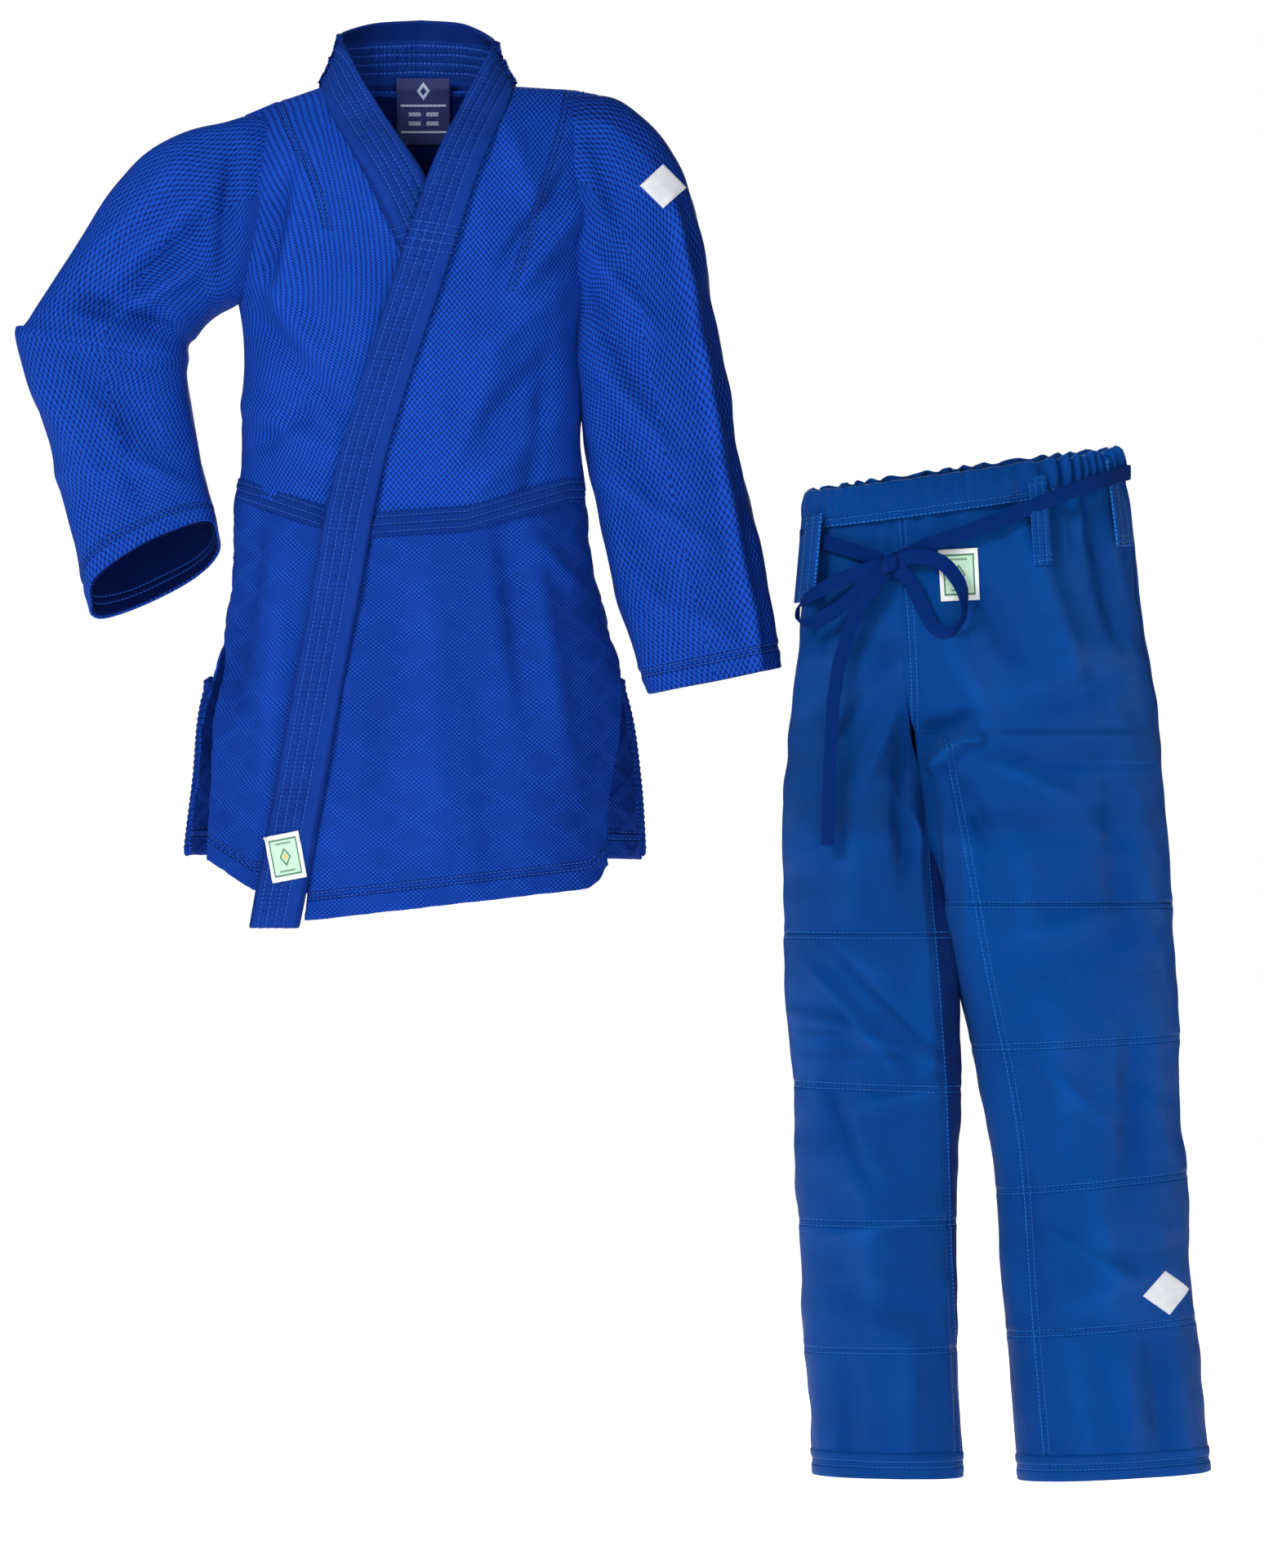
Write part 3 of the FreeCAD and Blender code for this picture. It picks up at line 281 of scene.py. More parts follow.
def outline_of(rows: int, columns: int, closed: bool) -> list[tuple[Array, Array]]:
    """Open edges of a grid, as row and column numbers in order round each edge.

    Args:
        rows: rows of the grid.
        columns: columns of the grid.
        closed: whether the last column repeats the first.

    Returns:
        Row numbers and column numbers of each edge.
    """
    last, end = rows - 1, columns - 1
    if closed:
        ring = np.arange(columns)
        return [(np.zeros(columns, int), ring), (np.full(columns, last), ring[::-1])]
    row = [np.zeros(end, int), np.arange(last), np.full(end, last), np.arange(last, -1, -1)]
    column = [np.arange(end), np.full(last, end), np.arange(end, 0, -1), np.zeros(last + 1, int)]
    return [(np.concatenate(row), np.concatenate(column))]


def quads(a: Array, b: Array, c: Array, d: Array) -> Array:
    """Four matching arrays of corners as a list of four-cornered faces."""
    return np.stack([a.ravel(), b.ravel(), c.ravel(), d.ravel()], axis=1)


RIM_REACH = 0.4


def shell_mesh(name: str, patch: Patch, thickness: float) -> bpy.types.Mesh:
    """Closed cloth: the outer face, the same face moved in by the thickness, and a round rim.

    Args:
        name: name of the mesh.
        patch: outer face of the cloth.
        thickness: how thick the cloth is.

    Returns:
        A mesh whose faces point outward, with a layer for each of the patch's coordinates.
    """
    rows, columns = patch.points.shape[:2]
    count = columns - 1 if patch.closed else columns
    inner = patch.points - patch.normals() * thickness
    slot = np.arange(rows * columns).reshape(rows, columns)
    vertex = np.arange(rows)[:, None] * count + np.arange(columns)[None, :] % count
    places = [patch.points[:, :count].reshape(-1, 3), inner[:, :count].reshape(-1, 3)]
    grid_size, layer_size = rows * columns, rows * count
    slot_vertex = [vertex.ravel(), vertex.ravel() + layer_size]
    sources = [slot.ravel(), slot.ravel()]
    a, b, c, d = slot[:-1, :-1], slot[:-1, 1:], slot[1:, 1:], slot[1:, :-1]
    faces = [quads(a, b, c, d), quads(a, d, c, b) + grid_size]
    next_slot, next_vertex = 2 * grid_size, 2 * layer_size
    for row, column in outline_of(rows, columns, patch.closed):
        edge = patch.points[row, column]
        beside = column if patch.closed else np.clip(column, 1, columns - 2)
        within = patch.points[np.clip(row, 1, rows - 2), beside]
        middle = (edge + inner[row, column]) / 2 + unit(edge - within) * thickness * RIM_REACH
        size = len(row)
        places.append(middle[:-1])
        slot_vertex.append(next_vertex + np.arange(size) % (size - 1))
        sources.append(slot[row, column])
        rim = next_slot + np.arange(size)
        top, foot = slot[row, column], slot[row, column] + grid_size
        faces.append(quads(top[1:], top[:-1], rim[:-1], rim[1:]))
        faces.append(quads(rim[1:], rim[:-1], foot[:-1], foot[1:]))
        next_slot += size
        next_vertex += size - 1
    corners = np.concatenate(faces)
    if patch.side() < 0:
        corners = corners[:, ::-1]
    mesh = mesh_of(name, np.concatenate(places), np.concatenate(slot_vertex)[corners])
    source = np.concatenate(sources)[corners].ravel()
    nowhere = np.full((rows, columns, 2), FAR_AWAY)
    for layer, values in (("weave", patch.weave), ("seam", patch.seam), ("seam_b", patch.seam_b)):
        chosen = nowhere if values is None else values
        layer_data = mesh.uv_layers.new(name=layer).data
        layer_data.foreach_set("uv", chosen.reshape(-1, 2)[source].astype(np.float32).ravel())
    # the layer of painted light and shade that the finish reads
    painted_shading = np.zeros((rows, columns)) if patch.painted_shading is None else patch.painted_shading
    spread = mesh.attributes.new("painted_shading", "FLOAT", "CORNER")
    spread.data.foreach_set("value", painted_shading.ravel()[source].astype(np.float32))
    return mesh


def mesh_of(name: str, places: Array, faces: Array) -> bpy.types.Mesh:
    """Mesh from an array of points and an array of four-cornered faces.

    Args:
        name: name of the mesh.
        places: points.
        faces: four point numbers for each face.

    Returns:
        The smooth-shaded mesh.
    """
    mesh = bpy.data.meshes.new(name)
    mesh.vertices.add(len(places))
    mesh.vertices.foreach_set("co", places.astype(np.float32).ravel())
    mesh.loops.add(faces.size)
    mesh.loops.foreach_set("vertex_index", faces.astype(np.int32).ravel())
    mesh.polygons.add(len(faces))
    mesh.polygons.foreach_set("loop_start", np.arange(0, faces.size, 4, dtype=np.int32))
    mesh.polygons.foreach_set("use_smooth", np.ones(len(faces), bool))
    mesh.update(calc_edges=True)
    return mesh


# ------------------------------------------------------------------ shader maths
class Value:
    """A number in a shader, written in sums: 1 - mask * 2 adds the nodes for it."""

    def __init__(self, board: "Board", socket: bpy.types.NodeSocket) -> None:
        """Keep the board that it is on and the socket that gives it."""
        self.board = board
        self.socket = socket

    def sum(self, operation: str, *others: "Value | float") -> "Value":
        """One Math node of this value and the others."""
        inputs = dict(enumerate((self, *others)))
        return self.board.value("ShaderNodeMath", {"operation": operation}, inputs)

    def after(self, operation: str, other: float) -> "Value":
        """One Math node with a plain number first."""
        return self.board.value("ShaderNodeMath", {"operation": operation}, {0: other, 1: self})

    def __add__(self, other: "Value | float") -> "Value":
        """Sum."""
        return self.sum("ADD", other)

    __radd__ = __add__

    def __sub__(self, other: "Value | float") -> "Value":
        """Difference."""
        return self.sum("SUBTRACT", other)

    def __rsub__(self, other: float) -> "Value":
        """Difference from a plain number."""
        return self.after("SUBTRACT", other)

    def __mul__(self, other: "Value | float") -> "Value":
        """Product."""
        return self.sum("MULTIPLY", other)

    __rmul__ = __mul__

    def __truediv__(self, other: "Value | float") -> "Value":
        """Quotient."""
        return self.sum("DIVIDE", other)

    def __rtruediv__(self, other: float) -> "Value":
        """Plain number divided by this one."""
        return self.after("DIVIDE", other)

    def __pow__(self, other: float) -> "Value":
        """Power."""
        return self.sum("POWER", other)

    def __abs__(self) -> "Value":
        """Size without sign."""
        return self.sum("ABSOLUTE")

    def part(self) -> "Value":
        """What is left above the whole number."""
        return self.sum("FRACT")

    def least(self, other: "Value | float") -> "Value":
        """Smaller of the two."""
        return self.sum("MINIMUM", other)

    def most(self, other: "Value | float") -> "Value":
        """Larger of the two."""
        return self.sum("MAXIMUM", other)

    def step(self, low: float, high: float) -> "Value":
        """Smooth step from 0 at low to 1 at high."""
        settings = {"interpolation_type": "SMOOTHSTEP"}
        return self.board.value("ShaderNodeMapRange", settings, {0: self, 1: low, 2: high})


class Board:
    """The node board of one material."""

    def __init__(self, name: str) -> None:
        """Start an empty material.

        Args:
            name: name of the material.
        """
        self.material = bpy.data.materials.new(name)
        self.material.use_nodes = True
        self.tree = self.material.node_tree
        self.tree.nodes.clear()

    def node(self, kind: str, settings: dict, inputs: dict) -> bpy.types.Node:
        """Add one node.

        Args:
            kind: type of the node.
            settings: its options, set first.
            inputs: a plain value, a Value or a socket for each input's name or number.

        Returns:
            The new node.
        """
        made = self.tree.nodes.new(kind)
        for option, choice in settings.items():
            setattr(made, option, choice)
        for place, given in inputs.items():
            if isinstance(given, Value):
                given = given.socket
            if isinstance(given, bpy.types.NodeSocket):
                self.tree.links.new(given, made.inputs[place])
            else:
                made.inputs[place].default_value = given
        return made

    def value(self, kind: str, settings: dict, inputs: dict, output: int | str = 0) -> Value:
        """One output of a new node as a number."""
        return Value(self, self.node(kind, settings, inputs).outputs[output])

    def layer(self, name: str) -> tuple[Value, Value]:
        """Both coordinates of one of the mesh's layers.

        Args:
            name: name of the layer.

        Returns:
            The first and the second coordinate.
        """
        uv = self.node("ShaderNodeUVMap", {"uv_map": name}, {})
        split = self.node("ShaderNodeSeparateXYZ", {}, {0: uv.outputs[0]})
        return Value(self, split.outputs[0]), Value(self, split.outputs[1])

    def noise(self, layer: str, scale: float, detail: float = 3.0) -> Value:
        """Cloudy noise over one of the mesh's layers, from 0 to 1.

        Args:
            layer: name of the layer.
            scale: clouds to a metre.
            detail: octaves.

        Returns:
            The noise.
        """
        uv = self.node("ShaderNodeUVMap", {"uv_map": layer}, {})
        inputs = {"Vector": uv.outputs[0], "Scale": scale, "Detail": detail}
        return self.value("ShaderNodeTexNoise", {}, inputs)

    def attribute(self, name: str) -> Value:
        """A number kept on the mesh."""
        return self.value("ShaderNodeAttribute", {"attribute_name": name}, {}, "Fac")

    def blend(self, share: Value, low: tuple, high: tuple) -> bpy.types.NodeSocket:
        """Colour between two others; either may be a colour or another blend."""
        settings = {"data_type": "RGBA", "clamp_factor": True}
        return self.node("ShaderNodeMix", settings, {0: share, 6: low, 7: high}).outputs[2]

    def finish(self, settings: dict, bump: Value, depth: float) -> bpy.types.Material:
        """Close the board with one Principled shader and one bump.

        Args:
            settings: inputs of the shader.
            bump: height of the surface in shares of depth.
            depth: how deep a bump of 1 is, in metres.

        Returns:
            The material.
        """
        raised = self.node("ShaderNodeBump", {}, {"Height": bump, "Distance": depth, "Strength": 1.0})
        inputs = {**settings, "Normal": raised.outputs[0]}
        shader = self.node("ShaderNodeBsdfPrincipled", {}, inputs)
        self.node("ShaderNodeOutputMaterial", {}, {"Surface": shader.outputs[0]})
        return self.material


def colour(red: float, green: float, blue: float) -> tuple[float, float, float, float]:
    """Opaque colour."""
    return red, green, blue, 1.0


# ------------------------------------------------------------------ finishes
@dataclass(frozen=True)
class Thread:
    """Rows of machine stitching beside a seam line."""

    offsets: tuple[float, ...] = (-0.0028, 0.0028)
    pitch: float = 0.0042
    half: float = 0.00055

    def rows(self, board: Board, layer: str) -> tuple[Value, Value]:
        """Where the thread lies and where it pulls the cloth down, both from 0 to 1.

        Args:
            board: node board to draw on.
            layer: layer with the distance from the seam and along it.

        Returns:
            The thread and the pull.
        """
        across, along = board.layer(layer)
        beat = abs((along / self.pitch).part() - 0.5)
        dash = 1 - beat.step(0.34, 0.44)
        thread = pull = None
        for offset in self.offsets:
            away = abs(across - offset)
            row = 1 - away.step(self.half * 0.5, self.half * 1.5)
            dent = 1 - away.step(0.0, self.half * 4)
            thread = row if thread is None else thread.most(row)
            pull = dent if pull is None else pull.most(dent)
        return thread * dash, pull


def grains(board: Board, size: Point, slant: float) -> Value:
    """Rice-grain weave: two sets of pillows, the second half a cell along and down from the first.

    One pillow is 1 - 4x² - 4y² over its cell, and the higher of the two sets shows.

    Args:
        board: node board to draw on.
        size: width and height of one cell, which holds one grain of each set.
        slant: how far a grain leans over its own height, in cell widths.

    Returns:
        Height of the weave, from 0 to 1.
    """
    across, down = board.layer("weave")
    wobble = (board.noise("weave", 70.0, 2.0) - 0.5) * 0.45
    row = down / size[1] + wobble
    column = across / size[0] + wobble * 0.7 + row * slant
    height = None
    for shift in (0.0, 0.5):
        x, y = (column + shift).part() - 0.5, (row + shift).part() - 0.5
        pillow = (1 - x * x * 4.0 - y * y * 4.0).most(0.0)
        height = pillow if height is None else height.most(pillow)
    return (height * 1.15 - 0.15).most(0.0) ** 0.7


@dataclass(frozen=True)
class Cloth:
    """What every cotton finish shares: two shades, sheen, stitching, and painted light and shade read from
    the mesh.
    """

    name: str
    dark: tuple = colour(0.0008, 0.007, 0.075)
    light: tuple = colour(0.008, 0.064, 0.45)
    thread_colour: tuple = colour(0.025, 0.10, 0.52)
    roughness: float = 0.62
    sheen: float = 0.02
    gloss: float = 0.03
    depth: float = 0.0012
    thread: Thread = Thread()

    def pattern(self, board: Board) -> tuple[Value, Value]:
        """Height of the weave and its share of the light shade."""
        raise NotImplementedError

    def material(self) -> bpy.types.Material:
        """Build the finish.

        Returns:
            The material.
        """
        board = Board(self.name)
        height, share = self.pattern(board)
        cloud = (board.noise("weave", 9.0) - 0.5) * 0.30 + (board.noise("weave", 45.0) - 0.5) * 0.18
        # painted light and shade: the mesh layer lightens fold crests and darkens hollows, sides and rolled
        # edges
        tone = share + cloud + board.attribute("painted_shading") * 0.35
        thread, pull = self.thread.rows(board, "seam")
        thread_b, pull_b = self.thread.rows(board, "seam_b")
        thread, pull = thread.most(thread_b), pull.most(pull_b)
        # painted shade: the cloth is darkened in the dent that the stitches pull in
        base = board.blend(tone - pull * 0.30, self.dark, self.light)
        shade = board.blend(thread * 0.85, base, self.thread_colour)
        rough = (self.roughness + cloud * 0.2 - thread * 0.15).least(1.0)
        settings = {
            "Base Color": shade,
            "Roughness": rough,
            "Sheen Weight": self.sheen,
            "Sheen Roughness": 0.45,
            "Sheen Tint": colour(0.25, 0.45, 1.0),
            "Specular IOR Level": self.gloss,
        }
        bump = height * (1 - pull * 0.7) - pull * 1.4 + thread * 1.2
        return board.finish(settings, bump, self.depth)


@dataclass(frozen=True)
class RiceGrain(Cloth):
    """Rice-grain cotton above the waist and on the sleeves."""

    size: Point = (0.0052, 0.0060)
    slant: float = 0.0

    def pattern(self, board: Board) -> tuple[Value, Value]:
        """Pillows of thread with dark joints between them.

        Args:
            board: node board to draw on.

        Returns:
            Height of the weave and its share of the light shade.
        """
        grain = grains(board, self.size, self.slant)
        return grain, grain * 1.30 - 0.24


@dataclass(frozen=True)
class Quilt(Cloth):
    """Skirt cloth: a fine brick weave crossed by two sets of slanting raised bands."""

    size: Point = (0.0050, 0.0042)
    diamond: Point = (0.062, 0.037)
    band: float = 0.30

    def pattern(self, board: Board) -> tuple[Value, Value]:
        """Bricks that stand out in the bands and nearly vanish inside the diamonds.

        Args:
            board: node board to draw on.

        Returns:
            Height of the weave and its share of the light shade.
        """
        across, down = board.layer("weave")
        brick = grains(board, self.size, 0.0)
        rise = across / self.diamond[0] + down / self.diamond[1]
        fall = across / self.diamond[0] - down / self.diamond[1]
        near = abs(rise.part() - 0.5).most(abs(fall.part() - 0.5)) * 2
        line = near.step(1 - self.band * 1.35, 1 - self.band * 0.65)
        strength = 0.40 + line * 0.60
        return brick * strength, 0.40 + (brick - 0.55) * strength * 1.10 + line * 0.02


@dataclass(frozen=True)
class Twill(Cloth):
    """Smooth cotton twill: fine slanting lines."""

    pitch: float = 0.0012
    contrast: float = 0.22
    pucker: float = 0.0
    fade: float = 0.002
    gather_pitch: float = 0.0048

    def pattern(self, board: Board) -> tuple[Value, Value]:
        """Fine ridges at 60 degrees, with slubs in the yarn and puckers between stitch rows.

        Args:
            board: node board to draw on.

        Returns:
            Height of the weave and its share of the light shade.
        """
        across, down = board.layer("weave")
        ridge = 1 - abs(((across * 1.7 + down) / self.pitch).part() - 0.5) * 2
        slub = board.noise("weave", 420.0, 2.0)
        height = ridge * 0.5 + slub * 0.5
        if self.pucker:
            wobble = board.noise("weave", 130.0, 2.0)
            bar = abs(((down / self.gather_pitch) + wobble * 1.6).part() - 0.5) * 2
            gather = self.gathers(board)
            height = height + bar * gather * self.pucker
            return height, 0.52 + (ridge - 0.5) * self.contrast + (bar - 0.5) * gather * 0.18
        return height, 0.52 + (ridge - 0.5) * self.contrast + (slub - 0.5) * 0.25

    def gathers(self, board: Board) -> Value:
        """Share of pucker: full between the first and last row of stitches, none outside them.

        Args:
            board: node board to draw on.

        Returns:
            The share.
        """
        across, _ = board.layer("seam")
        low, high = min(self.thread.offsets), max(self.thread.offsets)
        return across.step(low - self.fade, low) * (1 - across.step(high, high + self.fade))


@dataclass(frozen=True)
class Satin:
    """White satin-stitch embroidery: close threads side by side."""

    name: str = "white_embroidery"
    pitch: float = 0.0007
    depth: float = 0.0003

    def material(self) -> bpy.types.Material:
        """Build the finish.

        Returns:
            The material.
        """
        board = Board(self.name)
        across, down = board.layer("weave")
        fine = 1 - abs(((across * 0.9 + down * 0.45) / self.pitch).part() - 0.5) * 2
        cloud = board.noise("weave", 140.0)
        tone = fine * 0.5 + cloud * 0.5
        shade = board.blend(tone, colour(0.58, 0.60, 0.66), colour(0.92, 0.93, 0.95))
        # painted shade: darker blue-grey towards the badge's rolled edge
        edge = board.attribute("painted_shading")
        shade = board.blend(edge * 0.35, shade, colour(0.35, 0.42, 0.60))
        settings = {"Base Color": shade, "Roughness": 0.42 + cloud * 0.2, "Sheen Weight": 0.2}
        return board.finish(settings, fine, self.depth)


@dataclass(frozen=True)
class WovenLabel:
    """Woven label: white edge, green frame line, pale green field and a plain diamond.

    The piece's seam layer runs from -1 to 1 across and down the label.
    """

    name: str = "woven_label"
    edge: tuple = colour(0.86, 0.88, 0.87)
    field_colour: tuple = colour(0.52, 0.76, 0.58)
    line: tuple = colour(0.02, 0.16, 0.07)
    gold: tuple = colour(0.75, 0.52, 0.10)
    pitch: float = 0.0006
    depth: float = 0.0002

    def material(self) -> bpy.types.Material:
        """Build the finish.

        Returns:
            The material.
        """
        board = Board(self.name)
        across, down = board.layer("seam")
        reach_x, reach_y = abs(across), abs(down)
        frame_at = reach_x.most((reach_y - 0.03) * 1.04)
        inside = 1 - frame_at.step(0.80, 0.82)
        line = inside * frame_at.step(0.72, 0.74)
        bar = (1 - abs(reach_y - 0.60).step(0.035, 0.05)) * (1 - reach_x.step(0.44, 0.46))
        tilt = reach_x * 1.25 + reach_y
        diamond = (1 - tilt.step(0.40, 0.42)) * tilt.step(0.28, 0.30)
        heart = 1 - tilt.step(0.16, 0.18)
        base = board.blend(inside, self.edge, self.field_colour)
        base = board.blend(line.most(bar * 0.75).most(diamond), base, self.line)
        base = board.blend(heart, base, self.gold)
        _, warp = board.layer("weave")
        thread = 1 - abs((warp / self.pitch).part() - 0.5) * 2
        slub = board.noise("weave", 900.0)
        base = board.blend((1 - thread) * 0.12 + slub * 0.10, base, colour(0.30, 0.36, 0.36))
        settings = {"Base Color": base, "Roughness": 0.55 + slub * 0.1, "Sheen Weight": 0.1}
        return board.finish(settings, thread, self.depth)


@dataclass(frozen=True)
class PrintedLabel:
    """Pale print on the lining, whose dark cloth colours are painted shade: two rules, a diamond and short
    bars.

    The piece's seam layer runs from -1 to 1 across and down the label.
    """

    name: str = "printed_label"
    # painted shade: the label's cloth is coloured as dark as the shaded lining
    cloth: tuple = colour(0.0010, 0.012, 0.12)
    ink: tuple = colour(0.42, 0.50, 0.68)
    grain_size: Point = (0.0040, 0.0044)
    depth: float = 0.0004

    def material(self) -> bpy.types.Material:
        """Build the finish.

        Returns:
            The material.
        """
        board = Board(self.name)
        across, down = board.layer("seam")
        reach = abs(across)
        rules = (1 - abs(down - 0.18).step(0.02, 0.04)).most(1 - abs(down + 0.62).step(0.02, 0.04))
        rules = rules * (1 - reach.step(0.86, 0.88))
        tilt = reach * 1.1 + abs(down - 0.62)
        mark = (1 - tilt.step(0.26, 0.29)) * tilt.step(0.12, 0.15)
        bars = 1 - abs(abs(down + 0.22) - 0.14).step(0.05, 0.07)
        bars = bars * (1 - abs(reach - 0.34).step(0.22, 0.24))
        grain = grains(board, self.grain_size, 0.0)
        ink = rules.most(mark).most(bars * 0.75) * (0.55 + grain * 0.45)
        shade = board.blend(ink, board.blend(grain * 0.8, colour(0.001, 0.007, 0.07), self.cloth), self.ink)
        settings = {"Base Color": shade, "Roughness": 0.7, "Sheen Weight": 0.15}
        return board.finish(settings, grain, self.depth)


Finish = Cloth | Satin | WovenLabel | PrintedLabel


# ------------------------------------------------------------------ pieces and their motion
@dataclass(frozen=True)
class Move:
    """What a piece moves with: one body; a second body, with start and end points, is named but not used."""

    body: str
    other: str = ""
    start: Point3 = (0.0, 0.0, 0.0)
    end: Point3 = (0.0, 0.0, 0.0)

    def attach(self, thing: bpy.types.Object) -> None:
        """Fasten the object to its body; if a second body is named, it is not fastened, and its transform is
        only baked into its mesh.

        Args:
            thing: the object.
        """
        if self.other:
            Vector(self.start)
            Vector(self.end)
            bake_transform(thing)
        else:
            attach(thing, self.body)


JACKET = Move("jacket_body")
FLAP = Move("front_flap")
SEAT = Move("trousers_seat")
LEFT_ARM = Move("jacket_body", "left_sleeve_tube", (0.150, 0.0, -0.14), (0.215, 0.0, -0.14))
RIGHT_ARM = Move("jacket_body", "right_upper_sleeve", (-0.172, 0.0, -0.14), (-0.235, 0.0, -0.14))
ELBOW = Move("right_upper_sleeve", "right_forearm", (-0.30, 0.0, -0.225), (-0.30, 0.0, -0.325))
OPENING = Move("jacket_body", "front_flap", (0.160, 0.0, -0.396), (0.100, 0.0, -0.444))
SKIRT_OPENING = Move("jacket_body", "front_flap", (0.185, 0.0, -0.6), (0.085, 0.0, -0.6))
RIGHT_LEG = Move("trousers_seat", "right_leg", (0.43, 0.0, -0.60), (0.43, 0.0, -0.72))
LEFT_LEG = Move("trousers_seat", "left_leg", (0.616, 0.0, -0.60), (0.616, 0.0, -0.72))


class Workshop:
    """Turns patches into finished objects, and keeps them for the stage."""

    def __init__(self) -> None:
        """Start with no pieces and no finishes."""
        self.pieces: list[bpy.types.Object] = []
        self.finishes: dict[str, bpy.types.Material] = {}

    def finish(self, kind: Finish) -> bpy.types.Material:
        """The material of a finish, built once.

        Args:
            kind: the finish.

        Returns:
            The material.
        """
        if kind.name not in self.finishes:
            self.finishes[kind.name] = kind.material()
        return self.finishes[kind.name]

    def cloth(
        self, name: str, patch: Patch, thickness: float, kind: Finish, move: Move, nodes: tuple[str, ...],
        held: Held = Held.SMALL,
    ) -> bpy.types.Object:
        """One piece of cloth, dressed and fastened.

        Args:
            name: name of the piece.
            patch: outer face.
            thickness: thickness of the cloth.
            kind: its finish.
            move: what it moves with.
            nodes: the plain solids that it stands in for.
            held: how it is held, if it is a large sheet; for such a sheet only its flat size is worked out,
                and not kept.

        Returns:
            The new object.
        """
        thing = self.add(name, shell_mesh(name, patch, thickness), kind, move, nodes)
        if held is not Held.SMALL:
            flat_size(patch)
        return thing

    def add(
        self, name: str, mesh: bpy.types.Mesh, kind: Finish, move: Move, nodes: tuple[str, ...],
    ) -> bpy.types.Object:
        """One piece made from its own mesh, dressed and fastened.

        Args:
            name: name of the piece.
            mesh: its mesh.
            kind: its finish.
            move: what it moves with.
            nodes: the plain solids that it stands in for.

        Returns:
            The new object.
        """
        thing = bpy.data.objects.new(name, mesh)
        bpy.context.scene.collection.objects.link(thing)
        mesh.materials.append(self.finish(kind))
        move.attach(thing)
        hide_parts(*nodes)
        self.pieces.append(thing)
        log.info("%s: %d faces, stands in for %s", name, len(mesh.polygons), ", ".join(nodes))
        return thing


def flat_size(patch: Patch) -> tuple[float, float]:
    """Width and length of the cloth laid flat: its area over its length, and its length.

    Args:
        patch: outer face of the cloth.

    Returns:
        Width and length in metres.
    """
    p = patch.points
    across, down = p[:-1, 1:] - p[:-1, :-1], p[1:, :-1] - p[:-1, :-1]
    area = float(np.linalg.norm(np.cross(across, down), axis=-1).sum())
    length = float(np.linalg.norm(down, axis=-1).sum(axis=0).max())
    return area / length, length


def arc(points: Array, axis: int) -> Array:
    """Length travelled along one direction of a grid, from its first line.

    Args:
        points: the grid.
        axis: 0 down the rows and 1 across the columns.

    Returns:
        The length at each point.
    """
    steps = np.linalg.norm(np.diff(points, axis=axis), axis=-1)
    start = np.zeros_like(np.take(steps, [0], axis=axis))
    return np.concatenate([start, np.cumsum(steps, axis=axis)], axis=axis)


def evenly(known: Array, count: int) -> Array:
    """Points at even steps along the smooth curve through some points.

    Args:
        known: the points.
        count: how many points to give.

    Returns:
        The new points.
    """
    length = arc(known[:, None], 0)[:, 0]
    rough = through(tuple(length), known, np.linspace(0, length[-1], count * 4))
    travelled = arc(rough[:, None], 0)[:, 0]
    even = np.linspace(0, travelled[-1], count)
    return np.stack([np.interp(even, travelled, rough[:, axis]) for axis in range(3)], axis=-1)


def nearest(*lines: tuple[Array, Array]) -> Array:
    """Closest of several stitch lines at each point, each given as (across, along).

    Args:
        *lines: distance from each line and place along it.

    Returns:
        Distance and place, side by side.
    """
    across = np.stack([line[0] for line in lines])
    along = np.stack([np.broadcast_to(line[1], line[0].shape) for line in lines])
    pick = np.abs(across).argmin(axis=0)[None]
    pair = [np.take_along_axis(part, pick, axis=0)[0] for part in (across, along)]
    return np.stack(pair, axis=-1)


def press(patch: Patch, seam: Array, depth: float = 0.0011) -> None:
    """Sink the cloth along a seam, with a low roll on each side.

    Args:
        patch: the cloth.
        seam: distance from the seam and place along it.
        depth: how deep the seam lies.
    """
    away = np.abs(seam[..., 0])
    roll = 0.6 * np.exp(-(((away - 0.0065) / 0.004) ** 2))
    raise_folds(patch, -depth * np.exp(-((away / 0.0022) ** 2)) + depth * roll)


def edge_seam(patch: Patch, above: float) -> Array:
    """Rows of stitches round a sleeve or a leg, some way above its end.

    Args:
        patch: the cloth.
        above: distance from the end up to the stitches.

    Returns:
        Distance from the seam and place along it.
    """
    down = patch.weave[..., 1]
    return np.stack([down - down.max() + above, patch.weave[..., 0]], -1)


def looking(x: Array, y: float) -> Array:
    """The same outward direction, along y, for every point of a grid."""
    return np.stack([0 * x, 0 * x + y, 0 * x], axis=-1)


def raise_folds(patch: Patch, height: Array) -> None:
    """Move the cloth out along its normals."""
    patch.points = patch.points + patch.normals() * height[..., None]


LAPEL_ROWS = (-0.0165, -0.0080, 0.0010, 0.0100)
GRAIN = RiceGrain("rice_grain")
SLEEVE_GRAIN = RiceGrain("sleeve_grain", light=colour(0.007, 0.056, 0.39), size=(0.0052, 0.0092), slant=0.12)
QUILT = Quilt("quilted_cotton", depth=0.0012, thread=Thread((-0.003, 0.003)))
LAPEL = Twill(
    "lapel_twill", light=colour(0.012, 0.070, 0.46), thread=Thread(LAPEL_ROWS), pucker=1.5, depth=0.0006,
)
BAND = Twill("seam_band", light=colour(0.010, 0.078, 0.54), thread=Thread((-0.0075, 0.0, 0.0075)))
